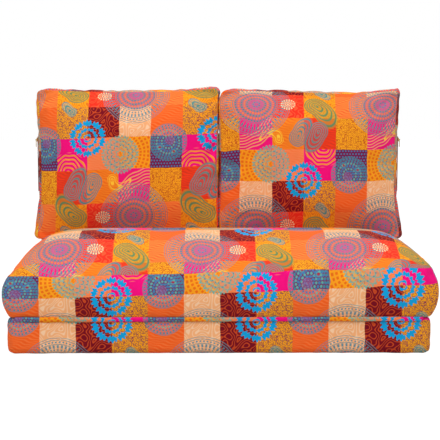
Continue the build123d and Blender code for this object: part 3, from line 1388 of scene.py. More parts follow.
def number(mesh: bpy.types.Mesh, name: str) -> np.ndarray:
    """A number kept at every point of a mesh.

    Args:
        mesh: The mesh.
        name: The number's name.

    Returns:
        The numbers.
    """
    values = np.empty(len(mesh.vertices), dtype=np.float32)
    mesh.attributes[name].data.foreach_get("value", values)
    return values.astype(float)


def new_piece(name: str, points: np.ndarray, faces: list[list[int]]) -> bpy.types.Object:
    """A new object at the origin, with a mesh of points and faces.

    Args:
        name: The object's name.
        points: Its points, as rows.
        faces: Its faces, each as a list of point numbers.

    Returns:
        The object.
    """
    mesh = bpy.data.meshes.new(name)
    mesh.from_pydata(points.tolist(), [], faces)
    piece = bpy.data.objects.new(name, mesh)
    bpy.context.scene.collection.objects.link(piece)
    return piece


def grid_faces(rows: int, columns: int, first: int = 0) -> np.ndarray:
    """The four-sided faces of a grid of points that are numbered on from the first.

    Args:
        rows: How many rows of points.
        columns: How many points in a row.
        first: The first point's number.

    Returns:
        The faces, as rows of four point numbers.
    """
    index = first + np.arange(rows * columns).reshape(rows, columns)
    quads = np.stack((index[:-1, :-1], index[1:, :-1], index[1:, 1:], index[:-1, 1:]), axis=-1)
    return quads.reshape(-1, 4)


def cloth_piece(
    name: str, points: np.ndarray, faces: np.ndarray, lay: np.ndarray, numbers: dict[str, np.ndarray]
) -> bpy.types.Object:
    """A piece of cloth with smooth shading.

    Args:
        name: The piece's name.
        points: Its points, as rows.
        faces: Its faces, as rows of four point numbers.
        lay: The place in the print of each point.
        numbers: What else is kept at each point, by name.

    Returns:
        The new object.
    """
    piece = new_piece(name, points, faces.tolist())
    mesh = piece.data
    layer = mesh.uv_layers.new(name="print")
    layer.data.foreach_set("uv", lay[faces.reshape(-1)].astype(np.float32).reshape(-1))
    for kept, values in numbers.items():
        attribute = mesh.attributes.new(kept, "FLOAT", "POINT")
        attribute.data.foreach_set("value", values.astype(np.float32))
    mesh.polygons.foreach_set("use_smooth", np.ones(len(faces), dtype=bool))
    return piece


def close(mesh: bpy.types.Mesh) -> None:
    """Welds a mesh's seams and turns its faces outwards.

    Args:
        mesh: The mesh.
    """
    shell = bmesh.new()
    shell.from_mesh(mesh)
    bmesh.ops.remove_doubles(shell, verts=shell.verts, dist=0.02 * MM)
    bmesh.ops.recalc_face_normals(shell, faces=shell.faces)
    shell.to_mesh(mesh)
    shell.free()
    mesh.update()


def ripple(place: np.ndarray, rim: float, shortest: float, longest: float, seed: int) -> np.ndarray:
    """Uneven waves that close round a rim: a sum of sines of whole counts, about 1 high.

    Args:
        place: How far round the rim each point is.
        rim: The length of the rim.
        shortest: The shortest wave.
        longest: The longest wave.
        seed: Sets which waves they are.

    Returns:
        The height of the waves at each point.
    """
    sines, usual_height = 9, 2.2
    draw = np.random.default_rng(seed)
    counts = draw.integers(round(rim / longest), round(rim / shortest), size=sines)
    phases = draw.uniform(0, TAU, size=sines)
    sizes = draw.uniform(0.4, 1.0, size=sines)
    angles = TAU * counts[:, None] * place[None] / rim + phases[:, None]
    return (sizes[:, None] * np.sin(angles)).sum(axis=0) / usual_height


@dataclass(frozen=True)
class ClothPress:
    """Puffs a cover up as cloth under pressure, with its seams held and gravity off.

    The sheet is cut a little larger than the form, so that it buckles softly beside the seams.
    """

    pressure: float = 3.5
    spare_cloth: float = -0.012
    frames: int = 20
    held_near_seam: float = 3 * MM
    quality: int = 4
    mass: float = 0.3
    stiffness: float = 12.0
    bending: float = 0.4

    def puff(self, piece: bpy.types.Object, cap: float) -> None:
        """Runs the cloth and keeps its result on the mesh.

        Args:
            piece: A closed cover with its seam distances.
            cap: The furthest that a point may move.
        """
        scene = bpy.context.scene
        mesh = piece.data
        before = read(mesh.vertices, "co")
        seams = piece.vertex_groups.new(name="seams")
        held = np.flatnonzero(number(mesh, "seam") < self.held_near_seam).tolist()
        seams.add(held, 1.0, "REPLACE")
        modifier = piece.modifiers.new("cloth", "CLOTH")
        cloth = modifier.settings
        cloth.quality = self.quality
        cloth.mass = self.mass
        cloth.tension_stiffness = cloth.compression_stiffness = self.stiffness
        cloth.shear_stiffness = self.stiffness
        cloth.bending_stiffness = self.bending
        cloth.use_pressure = True
        cloth.uniform_pressure_force = self.pressure
        cloth.vertex_group_mass = "seams"
        cloth.shrink_min = self.spare_cloth
        cloth.effector_weights.gravity = 0
        modifier.collision_settings.use_collision = False
        modifier.collision_settings.use_self_collision = False
        for frame_number in range(1, self.frames + 1):
            scene.frame_set(frame_number)
        shaped = piece.evaluated_get(bpy.context.evaluated_depsgraph_get())
        after = read(shaped.data.vertices, "co")
        piece.modifiers.remove(modifier)
        piece.vertex_groups.remove(seams)
        scene.frame_set(1)
        step = after - before
        size = np.linalg.norm(step, axis=-1, keepdims=True)
        write(mesh.vertices, "co", before + step * np.minimum(1, cap / np.maximum(size, 1e-9)))
        mesh.update()


def apply_modifiers(piece: bpy.types.Object) -> None:
    """Turns a piece's modifiers into its mesh.

    Args:
        piece: The piece.
    """
    state = bpy.context.evaluated_depsgraph_get()
    shaped = piece.evaluated_get(state)
    mesh = bpy.data.meshes.new_from_object(shaped, preserve_all_data_layers=True, depsgraph=state)
    piece.modifiers.clear()
    piece.data = mesh


@dataclass
class SoftPart:
    """A cover with its filling: the cover's form, what it stands for and what rides under it."""

    body: str
    cover: BoxCover
    stands_for: tuple[str, ...]
    fill: float = 0.7
    cap: float = 6 * MM
    underside: Finish = Finish.PRINTED_CLOTH
    filling: BoxCover | None = None
    filling_for: str = ""
    floor: tuple[float, float, float] = (-ANYWHERE, -ANYWHERE, -ANYWHERE)
    ceiling: tuple[float, float, float] = (ANYWHERE, ANYWHERE, ANYWHERE)
    pulls: tuple[Pull, ...] = ()

    def make(self, wardrobe: Wardrobe) -> None:
        """Builds, puffs, gathers and dresses the cover, and makes what fills it.

        Args:
            wardrobe: The finishes.
        """
        piece = self.cover.build()
        ClothPress().puff(piece, self.cap)
        finer = piece.modifiers.new("finer", "SUBSURF")
        finer.levels = finer.render_levels = 1
        finer.boundary_smooth = "PRESERVE_CORNERS"
        apply_modifiers(piece)
        self.cover.gather(piece)
        self.settle(piece)
        wardrobe.dress(piece, *dict.fromkeys((Finish.PRINTED_CLOTH, self.underside)))
        self.finish(piece, *self.stands_for)
        if self.filling is not None:
            inside = self.filling.build()
            self.settle(inside)
            wardrobe.dress(inside, Finish.FIBRE)
            self.finish(inside, self.filling_for)

    def settle(self, piece: bpy.types.Object) -> None:
        """Puts a piece in its place, flattens it on its neighbours and pulls it into shape.

        Args:
            piece: The cover or the filling.
        """
        self.cover.place(piece)
        points = read(piece.data.vertices, "co")
        points = np.clip(points, self.floor, self.ceiling)
        for pull in self.pulls:
            points = pull.move(points)
        write(piece.data.vertices, "co", points)
        piece.data.update()

    def finish(self, piece: bpy.types.Object, *nodes: str) -> None:
        """Gives the faces that lie underneath the second finish, and hands the piece to the frame.

        Args:
            piece: The cover or the filling.
            nodes: The nodes that it stands for.
        """
        mesh = piece.data
        if len(mesh.materials) > 1:
            below = read(mesh.polygons, "normal")[:, 2] < FACING_DOWN
            mesh.polygons.foreach_set("material_index", below.astype(np.int32))
        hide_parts(*nodes)
        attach(piece, self.body)
        LOG.info("%s: %d faces", piece.name, len(mesh.polygons))


@dataclass(frozen=True)
class Strip:
    """A folded cloth strip: a profile in Y and Z carried along X."""

    name: str
    profile: tuple[tuple[float, float], ...]
    length: float
    thickness: float = 0.8 * MM
    steps: int = 160
    wave: float = 0.5 * MM
    seed: int = 5
    first_down: float = 1.5
    fade: float = 60 * MM

    def build(self) -> bpy.types.Object:
        """Builds the strip, with small waves along it that fade at both of its sewn edges.

        Returns:
            The piece.
        """
        line = smooth_line(np.array(self.profile), 5)
        across = np.linspace(0, 1, len(line))
        x = np.linspace(-self.length / 2, self.length / 2, self.steps)
        waves = ripple(x + self.length / 2, self.length, 25 * MM, 120 * MM, self.seed)
        out = waves[:, None] * self.wave * np.sin(math.pi * across)[None]
        full = 1 - np.exp(-(self.length / 2 - np.abs(x)) / self.fade)
        points = np.zeros((self.steps, len(line), 3))
        points[..., 0] = x[:, None]
        reach = (line[None, :, 0] - line[0, 0]) * (0.25 + 0.75 * full[:, None])
        points[..., 1] = line[0, 0] + reach - out
        points[..., 2] = line[None, :, 1]
        across = 1 - (x[:, None] - COLUMN_EDGE) / PATCH
        down = self.first_down + run_along(line)[None] / PATCH
        lay = np.stack(np.broadcast_arrays(across, down), axis=-1)
        far_from_seam = {"seam": np.ones(lay[..., 0].size)}
        faces = grid_faces(*points.shape[:2])
        piece = cloth_piece(
            self.name, points.reshape(-1, 3), faces, lay.reshape(-1, 2), far_from_seam
        )
        wall = piece.modifiers.new("wall", "SOLIDIFY")
        wall.thickness = self.thickness
        wall.offset = 0
        apply_modifiers(piece)
        return piece

    def make(
        self, wardrobe: Wardrobe, finish: Finish, node: str, held: str, rests_on: list[str],
        bodies: tuple[str, str], start: tuple[float, float, float], end: tuple[float, float, float],
    ) -> None:
        """Builds and dresses the strip, and hides the node that it stands for.

        Args:
            wardrobe: The finishes.
            finish: The strip's own finish.
            node: The node that it stands for.
            held: How the sheet is held. Not used.
            rests_on: The pieces that it is sewn to. Not used.
            bodies: The two bodies that it joins. Not used.
            start: Where the strip starts to leave the first body. Not used.
            end: Where it has reached the second body. Not used.
        """
        piece = self.build()
        wardrobe.dress(piece, finish)
        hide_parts(node)
        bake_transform(piece)
        LOG.info("%s: %d faces", piece.name, len(piece.data.polygons))

    def flat(self) -> tuple[float, float]:
        """The strip's cut size."""
        line = smooth_line(np.array(self.profile), 5)
        return self.length, float(np.linalg.norm(np.diff(line, axis=0), axis=-1).sum())


def smooth_line(points: np.ndarray, steps: int) -> np.ndarray:
    """A line through points, rounded as a Catmull-Rom curve with so many steps between points.

    Args:
        points: The points that it passes through.
        steps: How many steps lie between two of them.

    Returns:
        The line's points.
    """
    padded = np.concatenate((2 * points[:1] - points[1:2], points, 2 * points[-1:] - points[-2:-1]))
    t = (np.arange(steps) / steps)[:, None]
    spans = []
    for a, b, c, d in zip(padded, padded[1:], padded[2:], padded[3:]):
        square, cube = 2 * a - 5 * b + 4 * c - d, 3 * b - a - 3 * c + d
        spans.append(0.5 * (2 * b + (c - a) * t + square * t**2 + cube * t**3))
    return np.concatenate((*spans, points[-1:]))


def rings_object(name: str, runs: list[np.ndarray]) -> bpy.types.Object:
    """Closed tubes: each run is a row of rings, joined ring to ring and capped at both ends.

    Args:
        name: The object's name.
        runs: The tubes, each as a grid of rings.

    Returns:
        The object.
    """
    points, faces = [], []
    first = 0
    for rings in runs:
        count, sides = rings.shape[:2]
        index = first + np.arange(count * sides).reshape(count, sides)
        after = np.roll(index, -1, axis=1)
        quads = np.stack((index[:-1], after[:-1], after[1:], index[1:]), axis=-1)
        faces += quads.reshape(-1, 4).tolist() + [index[0][::-1].tolist(), index[-1].tolist()]
        points.append(rings.reshape(-1, 3))
        first += count * sides
    piece = new_piece(name, np.concatenate(points), faces)
    close(piece.data)
    return piece


@dataclass(frozen=True)
class ZipLine:
    """Where a zip runs: its root on the cloth, its three directions and its sizes."""

    root: np.ndarray
    along: np.ndarray
    wide: np.ndarray
    out: np.ndarray
    length: float
    width: float
    high: float

    @classmethod
    def of(cls, node: str) -> "ZipLine":
        """The line of a tape's node, which runs along the longer of its Y and Z sides.

        Args:
            node: The tape's node.

        Returns:
            The line.
        """
        low, high = (np.array(corner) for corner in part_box(node))
        middle, size = (low + high) / 2, high - low
        out = np.array((math.copysign(1.0, middle[0]), 0.0, 0.0))
        long_axis = 1 if size[1] > size[2] else 2
        along, wide = np.eye(3)[long_axis], np.eye(3)[3 - long_axis]
        root = middle - out * size[0] / 2
        return cls(root, along, wide, out, size[long_axis], size[3 - long_axis], size[0])


@dataclass(frozen=True)
class Zip:
    """A zip: woven tape in two halves and a wound coil. Its slider and pull are the frame's own."""

    body: str
    tape_gap: float = 0.5 * MM
    tape_share: float = 0.4
    coil_pitch: float = 1.5 * MM
    coil_wire: float = 0.4 * MM
    coil_half_width: float = 1.7 * MM
    coil_spare: float = 8 * MM
    steps_in_turn: int = 8

    def make(self, wardrobe: Wardrobe) -> None:
        """Builds the tape and the coil in the place of the tape's node.

        Args:
            wardrobe: The finishes.
        """
        node = f"{self.body}_zip_tape"
        line = ZipLine.of(node)
        runs = [self.half(line, side) for side in (-1, 1)] + [self.coil(line)]
        piece = rings_object(f"{self.body}_zip", runs)
        wardrobe.dress(piece, Finish.ZIP_TAPE)
        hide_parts(node)
        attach(piece, self.body)
        LOG.info("%s: %d faces", piece.name, len(piece.data.polygons))

    def half(self, line: ZipLine, side: int) -> np.ndarray:
        """One half of the tape: a flat ring with rounded edges, carried along the zip.

        Args:
            line: The zip's line.
            side: -1 or 1, for the side of the line.

        Returns:
            The rings of the half.
        """
        angles = np.linspace(0, TAU, 12, endpoint=False) + TAU / 24
        near, far = self.tape_gap / 2, line.width / 2
        centre, half = (near + far) / 2, (far - near) / 2
        thick = line.high * self.tape_share
        flat = np.sign(np.cos(angles)) * np.abs(np.cos(angles)) ** 0.3
        tall = np.sign(np.sin(angles)) * np.abs(np.sin(angles)) ** 0.6
        ring = (side * centre + half * flat)[:, None] * line.wide
        ring = ring + (thick / 2 * (1 + tall))[:, None] * line.out
        ends = np.linspace(-line.length / 2, line.length / 2, 40)[:, None, None] * line.along
        return line.root + ring[None] + ends

    def coil(self, line: ZipLine) -> np.ndarray:
        """The coil: a round wire wound about the zip's line as a flat helix.

        Args:
            line: The zip's line.

        Returns:
            The rings of the wire.
        """
        turns = (line.length - self.coil_spare) / self.coil_pitch
        angle = np.linspace(0, TAU * turns, int(turns * self.steps_in_turn))
        tape = line.high * self.tape_share
        lift = (line.high - tape) / 2
        path = (
            ((angle / TAU - turns / 2) * self.coil_pitch)[:, None] * line.along
            + (self.coil_half_width * np.cos(angle))[:, None] * line.wide
            + (tape + lift + (lift - self.coil_wire / 2) * np.sin(angle))[:, None] * line.out
        )
        ahead = np.gradient(path, axis=0)
        ahead /= np.linalg.norm(ahead, axis=-1, keepdims=True)
        first = np.cross(ahead, line.along)
        first /= np.linalg.norm(first, axis=-1, keepdims=True)
        second = np.cross(ahead, first)
        around = np.linspace(0, TAU, 5, endpoint=False)[None, :, None]
        wire = self.coil_wire / 2 * (np.cos(around) * first[:, None] + np.sin(around) * second[:, None])
        return line.root + path[:, None] + wire


@dataclass(frozen=True)
class Lamp:
    """A square area lamp that looks at a point."""

    name: str
    place: tuple[float, float, float]
    power: float
    size: float
    aim: tuple[float, float, float] = (0, 0, 0.3)

    def make(self) -> None:
        """Makes the lamp."""
        data = bpy.data.lights.new(self.name, "AREA")
        data.energy = self.power
        data.size = self.size
        lamp = bpy.data.objects.new(self.name, data)
        lamp.location = self.place
        lamp.rotation_euler = (Vector(self.aim) - Vector(self.place)).to_track_quat("-Z", "Y").to_euler()
        bpy.context.scene.collection.objects.link(lamp)


@dataclass(frozen=True)
class Studio:
    """Soft studio light, a white sweep and a camera where the photograph was taken from."""

    eye: tuple[float, float, float] = (-0.0221, -3.73, 0.7692)
    pitch: float = 6.529
    yaw: float = -0.411
    lens: float = 99.7
    sensor: float = 36.0
    sky: float = 0.5
    lamps: tuple[Lamp, ...] = (
        Lamp("key", (-1.6, -2.6, 2.6), 42.0, 2.2),
        Lamp("fill", (2.4, -2.2, 1.8), 16.0, 2.4),
        Lamp("top", (0.1, -0.7, 3.0), 46.0, 2.0, (0, -0.1, 0.3)),
    )
    floor_half: float = 12.0
    floor_grey: float = 0.68
    floor_white: float = 0.78
    floor_glow: float = 1.25

    def camera(self) -> None:
        """Makes the camera."""
        data = bpy.data.cameras.new("camera")
        data.lens = self.lens
        data.sensor_width = self.sensor
        camera = bpy.data.objects.new("camera", data)
        camera.location = self.eye
        camera.rotation_euler = (math.radians(90 - self.pitch), 0, math.radians(self.yaw))
        bpy.context.scene.collection.objects.link(camera)
        bpy.context.scene.camera = camera

    def world(self) -> None:
        """A soft sky on the object, and plain white for the camera and for reflections."""
        world = bpy.data.worlds.new("studio")
        bpy.context.scene.world = world
        graph = Graph(world)
        rays = graph.node("ShaderNodeLightPath").outputs
        seen = (Term(graph, rays[f"Is {kind} Ray"]) for kind in ("Camera", "Glossy"))
        soft = graph.plain_shader("ShaderNodeBackground", Color=WHITE, Strength=self.sky)
        white = graph.plain_shader("ShaderNodeBackground", Color=WHITE)
        graph.output(
            graph.either(soft, white, graph.math("MAXIMUM", *seen)), "ShaderNodeOutputWorld"
        )

    def floor(self) -> None:
        """A wide white floor that keeps the shadow: part of its white is its own light."""
        half, grey = self.floor_half, self.floor_grey
        corners = np.array([(-half, -half, 0), (half, -half, 0), (half, half, 0), (-half, half, 0)])
        floor = new_piece("floor", corners, [(0, 1, 2, 3)])
        material, graph = new_material("floor")
        rays = graph.node("ShaderNodeLightPath").outputs
        share = Term(graph, rays["Is Camera Ray"]) * self.floor_white
        matt = graph.plain_shader("ShaderNodeBsdfDiffuse", Color=(grey, grey, grey, 1))
        glow = graph.plain_shader("ShaderNodeEmission", Color=WHITE, Strength=self.floor_glow)
        graph.output(graph.either(matt, glow, share))
        floor.data.materials.append(material)

    def make(self) -> None:
        """Sets the stage."""
        bpy.context.scene.view_settings.view_transform = "Standard"
        self.camera()
        self.world()
        self.floor()
        for lamp in self.lamps:
            lamp.make()


STAND_UP = Matrix(((1, 0, 0, 0), (0, 0, -1, 0), (0, 1, 0, 0), (0, 0, 0, 1)))


def extent(*nodes: str) -> tuple[np.ndarray, np.ndarray]:
    """The lowest and highest corners of several nodes together.

    Args:
        nodes: The nodes' names.

    Returns:
        The two corners.
    """
    boxes = [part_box(node) for node in nodes]
    low = np.min([np.array(box[0]) for box in boxes], axis=0)
    high = np.max([np.array(box[1]) for box in boxes], axis=0)
    return low, high


@dataclass
class SeatCover(BoxCover):
    """The seat's cover: its back falls, and is pressed to a shelf by the cushions on it."""

    shelf: float = 0.0
    shelf_front: float = 205 * MM
    slope_run: float = 45 * MM
    slope_rise: float = 47 * MM
    fall: float = 0.125
    softness: float = 5 * MM

    def shaped(self, points: np.ndarray) -> np.ndarray:
        """Lowers points to a lid: level over the shelf, steep before it and then rising gently.

        The lower of the crown and the lid is taken with a soft corner between them.

        Args:
            points: The panel's grid.

        Returns:
            The lowered grid.
        """
        y, z = points[..., 1], points[..., 2]
        ahead = np.clip(self.shelf_front - y, 0, None)
        steep = self.slope_rise * np.clip(ahead / self.slope_run, 0, 1)
        gentle = self.fall * np.clip(ahead - self.slope_run, 0, None)
        inward = np.clip((self.width / 2 - np.abs(points[..., 0])) / self.top.reach[0], 0, 1)
        lid = self.shelf + (steep + gentle) * (1 - (1 - inward) ** self.top.power[0])
        over = z - lid
        lowered = z - (over + np.sqrt(over**2 + self.softness**2)) / 2
        points = points.copy()
        points[..., 2] = np.where(z > self.high, np.maximum(lowered, self.high), z)
        return points


@dataclass(frozen=True)
class Slab:
    """The lower block or the backrest: a foam slab in a crisp cover whose panels wrap its edges."""

    body: str
    standing: bool
    edge: float = 15 * MM
    corner: float = 25 * MM
    crown: float = 0.5 * MM
    row_edge: float = 94.5 * MM
    row_slope: float = -0.06

    def nodes(self) -> tuple[str, ...]:
        """The cover's three nodes."""
        panels = ("front_panel", "rear_panel") if self.standing else ("bottom_panel", "top_panel")
        return tuple(f"{self.body}_cover_{name}" for name in (*panels, "band"))

    def cover(self) -> BoxCover:
        """The cover, sized by its nodes, with its print running on over the edges.

        Returns:
            The cover.
        """
        low, high = extent(*self.nodes())
        size, middle = high - low, (low + high) / 2
        depth, thick = (size[2], size[1]) if self.standing else (size[1], size[2])
        half = thick / 2 - self.edge
        down = 2 - (self.row_edge - self.edge) / PATCH
        over = down + 2 * half / PATCH
        return BoxCover(
            name=f"{self.body}_cover", width=size[0], depth=depth, low=-half, high=half,
            top=Panel(block_lay(over, self.row_slope), self.crown, edge_round=self.edge),
            bottom=Panel(block_lay(down, self.row_slope, -1), edge_round=self.edge),
            wall=block_lay(down, self.row_slope),
            corner=self.corner, side_bulge=0.3 * MM, front_bulge=1.0 * MM,
            pucker=0.25 * MM, groove=0.1 * MM, seed=11,
            turn=Matrix.Translation(middle) @ (STAND_UP if self.standing else Matrix()),
            edge_steps=(0, 0.4, 1.5, 3.2, 5.5, 8.5, 12, 15, 20, 28, 38),
        )

    def make(self, wardrobe: Wardrobe) -> None:
        """Makes the cover. The foam core is the frame's own.

        Args:
            wardrobe: The finishes.
        """
        low, high = extent(*self.nodes())
        proud = np.array((1.0, 1.0, 0.0)) * MM
        underside = Finish.PRINTED_CLOTH if self.standing else Finish.PLAIN_CLOTH
        SoftPart(
            body=self.body, cover=self.cover(), stands_for=self.nodes(), fill=0.85, cap=1.0 * MM,
            underside=underside, floor=tuple(low - proud), ceiling=tuple(high + proud),
        ).make(wardrobe)


@dataclass(frozen=True)
class Seat:
    """The seat: a puffy box cushion with a high crown, and a shelf behind for the cushions."""

    seam_inset: float = 5 * MM
    bow: float = 5 * MM
    side_bulge: float = 18 * MM
    front_bulge: float = 10 * MM
    corner: float = 25 * MM
    crown_reach: tuple[float, float] = (0.4, 0.207)
    crown_power: tuple[float, float] = (6.0, 2.2)
    row_edge: float = 177 * MM
    row_slope: float = -0.294
    top_down: float = 3.566
    seam_tilt: float = 14.5 * MM
    shelf_clearance: float = 0.3 * MM
    wadding_gap: float = 14 * MM
    pulls: tuple[Pull, ...] = ()

    def cover(self) -> SeatCover:
        """The cover, sized by the frame: the seam lies a little inside the lower block's outline.

        Returns:
            The cover.
        """
        block_low, block_high = extent("base_cover_band")
        width, depth = (block_high - block_low)[:2] - 2 * self.seam_inset
        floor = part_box("seat_cover_bottom_panel")[0].z
        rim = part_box("seat_cover_band")[1].z
        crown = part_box("seat_cover_top_panel")[1].z - rim
        down = 2 + (floor - self.row_edge) / PATCH
        return SeatCover(
            name="seat_cover", width=width, depth=depth, low=floor, high=rim,
            top=Panel(block_lay(self.top_down), crown, self.crown_reach, self.crown_power),
            bottom=Panel(block_lay(down)), wall=block_lay(down, self.row_slope),
            corner=self.corner, side_bow=self.bow, front_bow=self.bow,
            side_bulge=self.side_bulge, front_bulge=self.front_bulge,
            pucker=0.8 * MM, groove=0.7 * MM, seam_waver=2.0 * MM, seam_tilt=self.seam_tilt, seed=3,
            shelf=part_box("left_cushion_gusset")[0].z - self.shelf_clearance,
        )

    def make(self, wardrobe: Wardrobe) -> None:
        """Makes the cover and the fibre wadding under it.

        Args:
            wardrobe: The finishes.
        """
        cover = self.cover()
        core_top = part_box("seat_foam_core")[1].z + self.shelf_clearance
        wadding = replace(
            cover.drawn_in("seat_wadding", self.wadding_gap), low=core_top,
            side_bulge=0.0, front_bulge=0.0, shelf=cover.shelf - self.wadding_gap,
            shelf_front=cover.shelf_front - self.wadding_gap,
        )
        SoftPart(
            body="seat", cover=cover, fill=0.75, underside=Finish.PLAIN_CLOTH,
            stands_for=tuple(f"seat_cover_{name}" for name in ("bottom_panel", "band", "top_panel")),
            filling=wadding, filling_for="seat_fibre_wadding",
            floor=(-ANYWHERE, -ANYWHERE, cover.low), pulls=self.pulls,
        ).make(wardrobe)


@dataclass(frozen=True)
class BackCushion:
    """A back cushion: two crowned panels and a gusset that swells out past their seams."""

    side: str
    print_way: int
    patch: float
    column_edge: float
    row_edge: float
    row_slope: float = 0.0
    column_slope: float = 0.0
    drifts: tuple[Drift, ...] = ()
    gusset_lay: Lay = Lay(1.15, 0.6 + 0.798 / PATCH, 0, 1 / PATCH, -1 / PATCH, 0)
    swell: float = 12 * MM
    end_swell: float = 4 * MM
    drawn: float = 8 * MM
    corner: float = 14 * MM
    crown_reach: tuple[float, float] = (0.15, 0.15)
    filling_gap: float = 15 * MM
    seed: int = 7
    pulls: tuple[Pull, ...] = ()

    @property
    def body(self) -> str:
        """The cushion's body."""
        return f"{self.side}_cushion"

    def nodes(self) -> tuple[str, ...]:
        """The cover's three nodes."""
        return tuple(f"{self.body}_{name}" for name in ("front_panel", "gusset", "back_panel"))

    def cover(self) -> BoxCover:
        """The cover, sized by its nodes and stood up.

        Returns:
            The cover.
        """
        low, high = extent(*self.nodes())
        gusset_low, gusset_high = extent(f"{self.body}_gusset")
        middle, size = (low + high) / 2, high - low
        half = (gusset_high[1] - gusset_low[1]) / 2
        way = self.print_way
        bottom = low[2] + self.end_swell
        face = Lay(
            1 + way * (middle[0] - self.column_edge) / self.patch,
            2 + way * (self.row_edge - bottom) / self.patch,
            way / self.patch, self.column_slope, way * self.row_slope, -way / self.patch, self.drifts,
        )
        panel = Panel(face, gusset_low[1] - low[1], self.crown_reach)
        return BoxCover(
            name=f"{self.body}_cover", width=size[0] - 2 * self.swell,
            depth=size[2] - 2 * self.end_swell, low=-half, high=half,
            top=panel, bottom=panel, wall=self.gusset_lay, corner=self.corner,
            side_bow=-self.drawn, front_bow=-self.drawn,
            side_bulge=self.swell, front_bulge=self.end_swell,
            pucker=0.8 * MM, groove=0.9 * MM, seed=self.seed,
            turn=Matrix.Translation(middle) @ STAND_UP,
        )

    def make(self, wardrobe: Wardrobe) -> None:
        """Makes the cover and the fibre filling in it.

        Args:
            wardrobe: The finishes.
        """
        low, high = extent(*self.nodes())
        cover = self.cover()
        SoftPart(
            body=self.body, cover=cover, stands_for=self.nodes(),
            filling=cover.drawn_in(f"{self.body}_filling", self.filling_gap),
            filling_for=f"{self.body}_fill",
            floor=(-ANYWHERE, -ANYWHERE, float(low[2])),
            ceiling=(ANYWHERE, float(high[1]), ANYWHERE),
            pulls=self.pulls,
        ).make(wardrobe)


def front_strip(wardrobe: Wardrobe) -> None:
    """The sewn roll at the front seam, which lets the seat turn over.

    Its profile starts on the block's band, dips in to the roll and ends on the seat's band.

    Args:
        wardrobe: The finishes.
    """
    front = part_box("base_cover_band")[0].y
    roll_reach = 7 * MM
    axis = front - roll_reach
    profile = (
        (front - 0.4 * MM, 95 * MM), (front - 3.2 * MM, 96 * MM), (axis + 1.6 * MM, 99.5 * MM),
        (axis + 0.6 * MM, 103 * MM), (axis + 2 * MM, 106 * MM), (front + 4 * MM, 107 * MM),
    )
    Strip("front_hinge", profile, 1.15, first_down=2.02).make(
        wardrobe, Finish.PRINTED_CLOTH, "front_hinge_strip", "stretched",
        ["base_cover", "seat_cover"], ("base", "seat"), (0, axis, 100 * MM), (0, axis, 107 * MM),
    )


def rear_strip(wardrobe: Wardrobe) -> None:
    """The slack cloth flap that holds the backrest's lower end to the lower block.

    Its profile hangs down the block's rear face and turns out to the backrest along its tail.

    Args:
        wardrobe: The finishes.
    """
    low, high = extent("rear_hinge_flap")
    off_block = 1.0 * MM
    near = low[1] + off_block
    profile = (
        (near, high[2]), (near + 1.0 * MM, 65 * MM), (near + 0.6 * MM, 40 * MM),
        (near + 2.2 * MM, 22 * MM), (near + 7 * MM, low[2] + 1.2 * MM),
        (high[1] - 0.2 * MM, low[2] + 0.8 * MM),
    )
    Strip("rear_hinge", profile, 1.18, seed=9).make(
        wardrobe, Finish.PLAIN_CLOTH, "rear_hinge_flap", "hung", ["base_cover", "back_cover"],
        ("base", "back"), (0, near + 2 * MM, low[2]), (0, high[1], low[2]),
    )


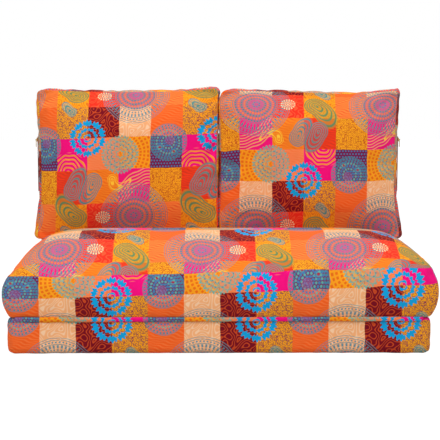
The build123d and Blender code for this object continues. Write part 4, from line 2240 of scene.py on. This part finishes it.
BASE = Slab("base", standing=False)
BACK = Slab("back", standing=True)
SEAT = Seat(
    pulls=(
        Pull((0.612, -0.3, 0.17), (10 * MM, 0, 0), 0.1),
        Pull((-0.612, -0.3, 0.17), (-2.5 * MM, 0, 0), 0.1),
        Pull((-0.612, -0.36, 0.142), (4 * MM, 6 * MM, 0), 8 * MM, (-0.572, -0.365, 0.108)),
        Pull((-0.6, -0.36, 0.128), (-3 * MM, -4 * MM, 0), 14 * MM, (-0.59, -0.365, 0.15)),
    )
)
LEFT_CUSHION = BackCushion(
    "left", 1, 101.3 * MM, -429.2 * MM, 587.4 * MM, row_slope=0.345, column_slope=-0.23, seed=7,
    drifts=(Drift(0.0, 0.512, 2.0, 0.037, 0.0, -0.38), Drift(0.0, 0.13, 2.0, 0.08, 0.0, -0.1)),
    pulls=(
        Pull((-0.60, 0.295, 0.25), (-11 * MM, 0, 0), 0.09),
        Pull((0.0, 0.295, 0.3), (7 * MM, 0, 0), 0.09, (0.0, 0.295, 0.62)),
        Pull((-0.02, 0.25, 0.28), (16 * MM, 0, 0), 0.05, (-0.02, 0.25, 0.72)),
        Pull((-0.005, 0.295, 0.745), (3 * MM, 0, 6 * MM), 0.06),
        Pull((-0.598, 0.295, 0.745), (8 * MM, 0, -6 * MM), 0.03),
        Pull((-0.02, 0.25, 0.545), (-3 * MM, 8 * MM, 0), 14 * MM, (-0.03, 0.24, 0.5)),
        Pull((-0.02, 0.25, 0.6), (-2 * MM, 6 * MM, 0), 12 * MM, (-0.05, 0.24, 0.62)),
        Pull((-0.57, 0.25, 0.70), (0, 5 * MM, 0), 12 * MM, (-0.54, 0.24, 0.71)),
    ),
)
RIGHT_CUSHION = BackCushion(
    "right", -1, 102.4 * MM, 278.6 * MM, 444.6 * MM, seed=23,
    drifts=(Drift(0.0, 0.512, 2.0, 0.05, 0.0, 0.4), Drift(-0.295, 0.3, 0.05, 0.12, 0.0, 0.12)),
    pulls=(
        Pull((0.60, 0.295, 0.25), (15 * MM, 0, 0), 0.09),
        Pull((0.02, 0.25, 0.32), (-16 * MM, 0, 0), 0.05, (0.02, 0.25, 0.7)),
        Pull((0.006, 0.295, 0.745), (14 * MM, 0, -6 * MM), 0.035),
        Pull((0.45, 0.295, 0.745), (0, 0, -8 * MM), 0.13),
        Pull((0.597, 0.295, 0.742), (0, 0, 6 * MM), 0.014),
        Pull((0.06, 0.23, 0.31), (0, 7 * MM, 0), 12 * MM, (0.1, 0.22, 0.33)),
        Pull((0.55, 0.25, 0.70), (0, 5 * MM, 0), 14 * MM, (0.5, 0.23, 0.66)),
    ),
)


def main() -> None:
    """Builds the sofa bed piece by piece."""
    logging.basicConfig(level=logging.INFO, format="%(message)s")
    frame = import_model()
    wardrobe = Wardrobe()
    Studio().make()
    for part in (BASE, SEAT, BACK, LEFT_CUSHION, RIGHT_CUSHION):
        part.make(wardrobe)
    front_strip(wardrobe)
    rear_strip(wardrobe)
    for body in ("base", "seat", "back", "left_cushion", "right_cushion"):
        Zip(body).make(wardrobe)
    finishes = {finish.value: finish for finish in Finish}
    slots = {part["node"]: part.get("material_slot") for part in frame["record"]["subparts"]}
    for node, item in frame["nodes"].items():
        if not item.hide_render:
            slot = slots.get(node)
            LOG.info("%s: %s", node, slot)
            item.data.materials.clear()
            item.data.materials.append(wardrobe.made[finishes.get(slot, Finish.PRINTED_CLOTH)])


if __name__ == "__main__":
    main()
